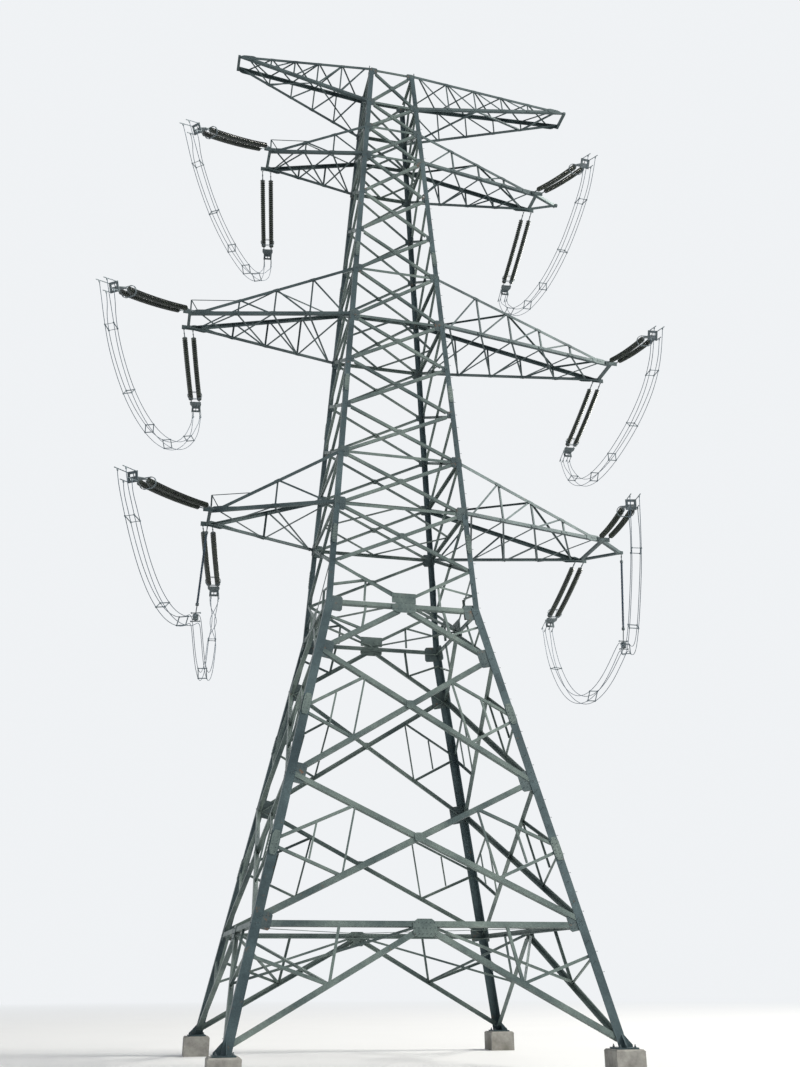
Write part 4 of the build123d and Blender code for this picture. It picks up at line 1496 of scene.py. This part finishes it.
# One face of an arm: its posts, the plates on both chords and the plate at the tip.
def addArmFace(pieces, bolts, face, flat, slant, shares, up):
    inner = Vector((0, -face * armDetail["inset"], 0)) * armDetail["postInset"]
    flatRun, slantRun = (flat[1] - flat[0]).normalized(), (slant[1] - slant[0]).normalized()
    normal = flatRun.cross(slantRun).normalized()
    normal = normal if normal.y * face > 0 else -normal
    flatShift = up * armDetail["chord"]
    slantShift = (flat[0] - slant[0]).normalized() * armDetail["chord"]
    for count, share in enumerate(shares[1:], 1):
        lower, upper = onChord(flat, share), onChord(slant, share)
        if count < len(shares) - 1:
            addBar(pieces, lower + inner, upper + inner, -normal, armDetail["barSize"])
        addChordPlate(pieces, bolts, lower + flatShift, normal, flatRun)
        addChordPlate(pieces, bolts, upper + slantShift, normal, slantRun)
    tip = onChord(flat, armDetail["last"]).lerp(onChord(slant, armDetail["last"]), 0.5)
    addGusset(pieces, tip, normal, flatRun, *armDetail["tipPlate"])


# Both faces of an arm, and the lacing that runs to and fro between its slant chords.
def addArmDetail(name, side, flatLevel, slantLevel, reach, tipHalf, panels):
    first, last = armDetail["first"], armDetail["last"]
    up = upwards if slantLevel > flatLevel else -upwards
    shares = [first + (last - first) * count / panels for count in range(panels + 1)]
    flatHalf, slantHalf = halfWidth(flatLevel), halfWidth(slantLevel)
    slants = {}
    pieces, bolts = [], []
    for face in (-1, 1):
        tip = aboveGround((side * reach, face * tipHalf, flatLevel))
        flat = aboveGround((side * flatHalf, face * flatHalf, flatLevel)), tip
        slants[face] = aboveGround((side * slantHalf, face * slantHalf, slantLevel)), tip
        addArmFace(pieces, bolts, face, flat, slants[face], shares, up)
    under = -up * armDetail["laceDrop"]
    bays = shares[::2] if len(shares) % 2 else shares[:-1:2] + shares[-1:]
    for count, (share, after) in enumerate(zip(bays, bays[1:])):
        face = -1 if count % 2 else 1
        inset = Vector((0, face * armDetail["inset"], 0))
        start = onChord(slants[face], share) - inset + under
        end = onChord(slants[-face], after) + inset + under
        addBar(pieces, start, end, -up, armDetail["barSize"])
    lacing = joinAs(f"{name}_lacing", pieces)
    # The lacing takes the arm steel, darkened as painted shade.
    lacing.data.materials[0] = finishes["armSteelPaintedShade"]
    settle(lacing)
    settle(joinAs(f"{name}_bolts", bolts))


addUpperDetail()
addLowerBars()
addLowerTies()
addLowerBolts()
addSplices()
addSteps()
addAnchors()
for name, sizes in arms.items():
    addArmDetail(name, *sizes)
discard(angleBar, flatBar, boltHead, gussetPlate, jointPlate)
discard(discMaster, shackle, strap, thinRod)
print("lattice detailed")

# Room
room = {
    "floor": (0.84, 0.845, 0.85),
    "floorGrain": {"Scale": 3, "Detail": 4},
    "floorStops": (0.3, 0.7),
    "floorLift": 1.02,
    "floorRoughness": 0.95,
    "backdrop": (0.87, 0.89, 0.91),
    "sky": (0.93, 0.96, 1.0),
    "ambient": 0.34,
    "size": 60,
    "nearFade": 2.2,
    "farFade": 7.0,
    "aim": (0, 0, 1.3),
}


# One for the rays that see the room itself: from the camera, in gloss and through glass.
def seenDirectly(tree):
    path = tree.nodes.new("ShaderNodeLightPath")
    seen = path.outputs["Is Camera Ray"]
    for ray in ("Is Glossy Ray", "Is Transmission Ray"):
        add = tree.nodes.new("ShaderNodeMath")
        add.operation = "MAXIMUM"
        tree.links.new(seen, add.inputs[0])
        tree.links.new(path.outputs[ray], add.inputs[1])
        seen = add.outputs[0]
    return seen


def mixShaders(tree, share, one, other, output):
    mix = tree.nodes.new("ShaderNodeMixShader")
    tree.links.new(share, mix.inputs["Fac"])
    tree.links.new(one, mix.inputs[1])
    tree.links.new(other, mix.inputs[2])
    tree.links.new(mix.outputs[0], output)


# Far from the tower the floor takes the colour of the backdrop, so that no edge shows.
def addFloor():
    deselectAll()
    bpy.ops.mesh.primitive_plane_add(size=room["size"])
    floor = bpy.context.object
    floor.name = "floor"
    material, tree, shader, place = newFinish("floor")
    grain = addTexture(tree, place, "Noise", **room["floorGrain"])
    light = tuple(value * room["floorLift"] for value in room["floor"])
    tone = addTone(tree, grain.outputs["Fac"], {"dark": room["floor"], "light": light}, room["floorStops"])
    tree.links.new(tone.outputs["Color"], shader.inputs["Base Color"])
    shader.inputs["Roughness"].default_value = room["floorRoughness"]
    reach = tree.nodes.new("ShaderNodeVectorMath")
    reach.operation = "LENGTH"
    tree.links.new(place, reach.inputs[0])
    span = {"From Min": room["nearFade"], "From Max": room["farFade"]}
    fade = addNode(tree, "ShaderNodeMapRange", **span)
    tree.links.new(reach.outputs["Value"], fade.inputs["Value"])
    share = tree.nodes.new("ShaderNodeMath")
    share.operation = "MULTIPLY"
    tree.links.new(fade.outputs["Result"], share.inputs[0])
    tree.links.new(seenDirectly(tree), share.inputs[1])
    glow = addNode(tree, "ShaderNodeEmission", Color=(*room["backdrop"], 1), Strength=1)
    output = tree.nodes["Material Output"].inputs["Surface"]
    mixShaders(tree, share.outputs[0], shader.outputs["BSDF"], glow.outputs[0], output)
    floor.data.materials.append(material)


def addBackdrop():
    world = bpy.data.worlds.new("studio")
    bpy.context.scene.world = world
    world.use_nodes = True
    tree = world.node_tree
    light = tree.nodes["Background"]
    light.inputs["Color"].default_value = (*room["sky"], 1)
    light.inputs["Strength"].default_value = room["ambient"]
    backdrop = addNode(tree, "ShaderNodeBackground", Color=(*room["backdrop"], 1))
    output = tree.nodes["World Output"].inputs["Surface"]
    mixShaders(tree, seenDirectly(tree), light.outputs[0], backdrop.outputs[0], output)


# Place, size, power and colour
lamps = {
    "key": ((7.2, -2.6, 6.6), 2.5, 1150, (1.0, 0.97, 0.9)),
    "fill": ((-6.0, -5.0, 4.0), 5.0, 45, (0.9, 0.95, 1.0)),
    "rim": ((3.0, 6.5, 6.0), 4.0, 90, (1.0, 1.0, 1.0)),
}


def addLamps():
    for name, (place, size, power, colour) in lamps.items():
        bpy.ops.object.light_add(type="AREA", location=place)
        lamp = bpy.context.object
        lamp.name = name
        lamp.data.size = size
        lamp.data.energy = power
        lamp.data.color = colour
        aim = Vector(room["aim"]) - Vector(place)
        lamp.rotation_euler = aim.to_track_quat("-Z", "Y").to_euler()


addFloor()
addBackdrop()
addLamps()
bpy.context.scene.view_settings.view_transform = "Standard"
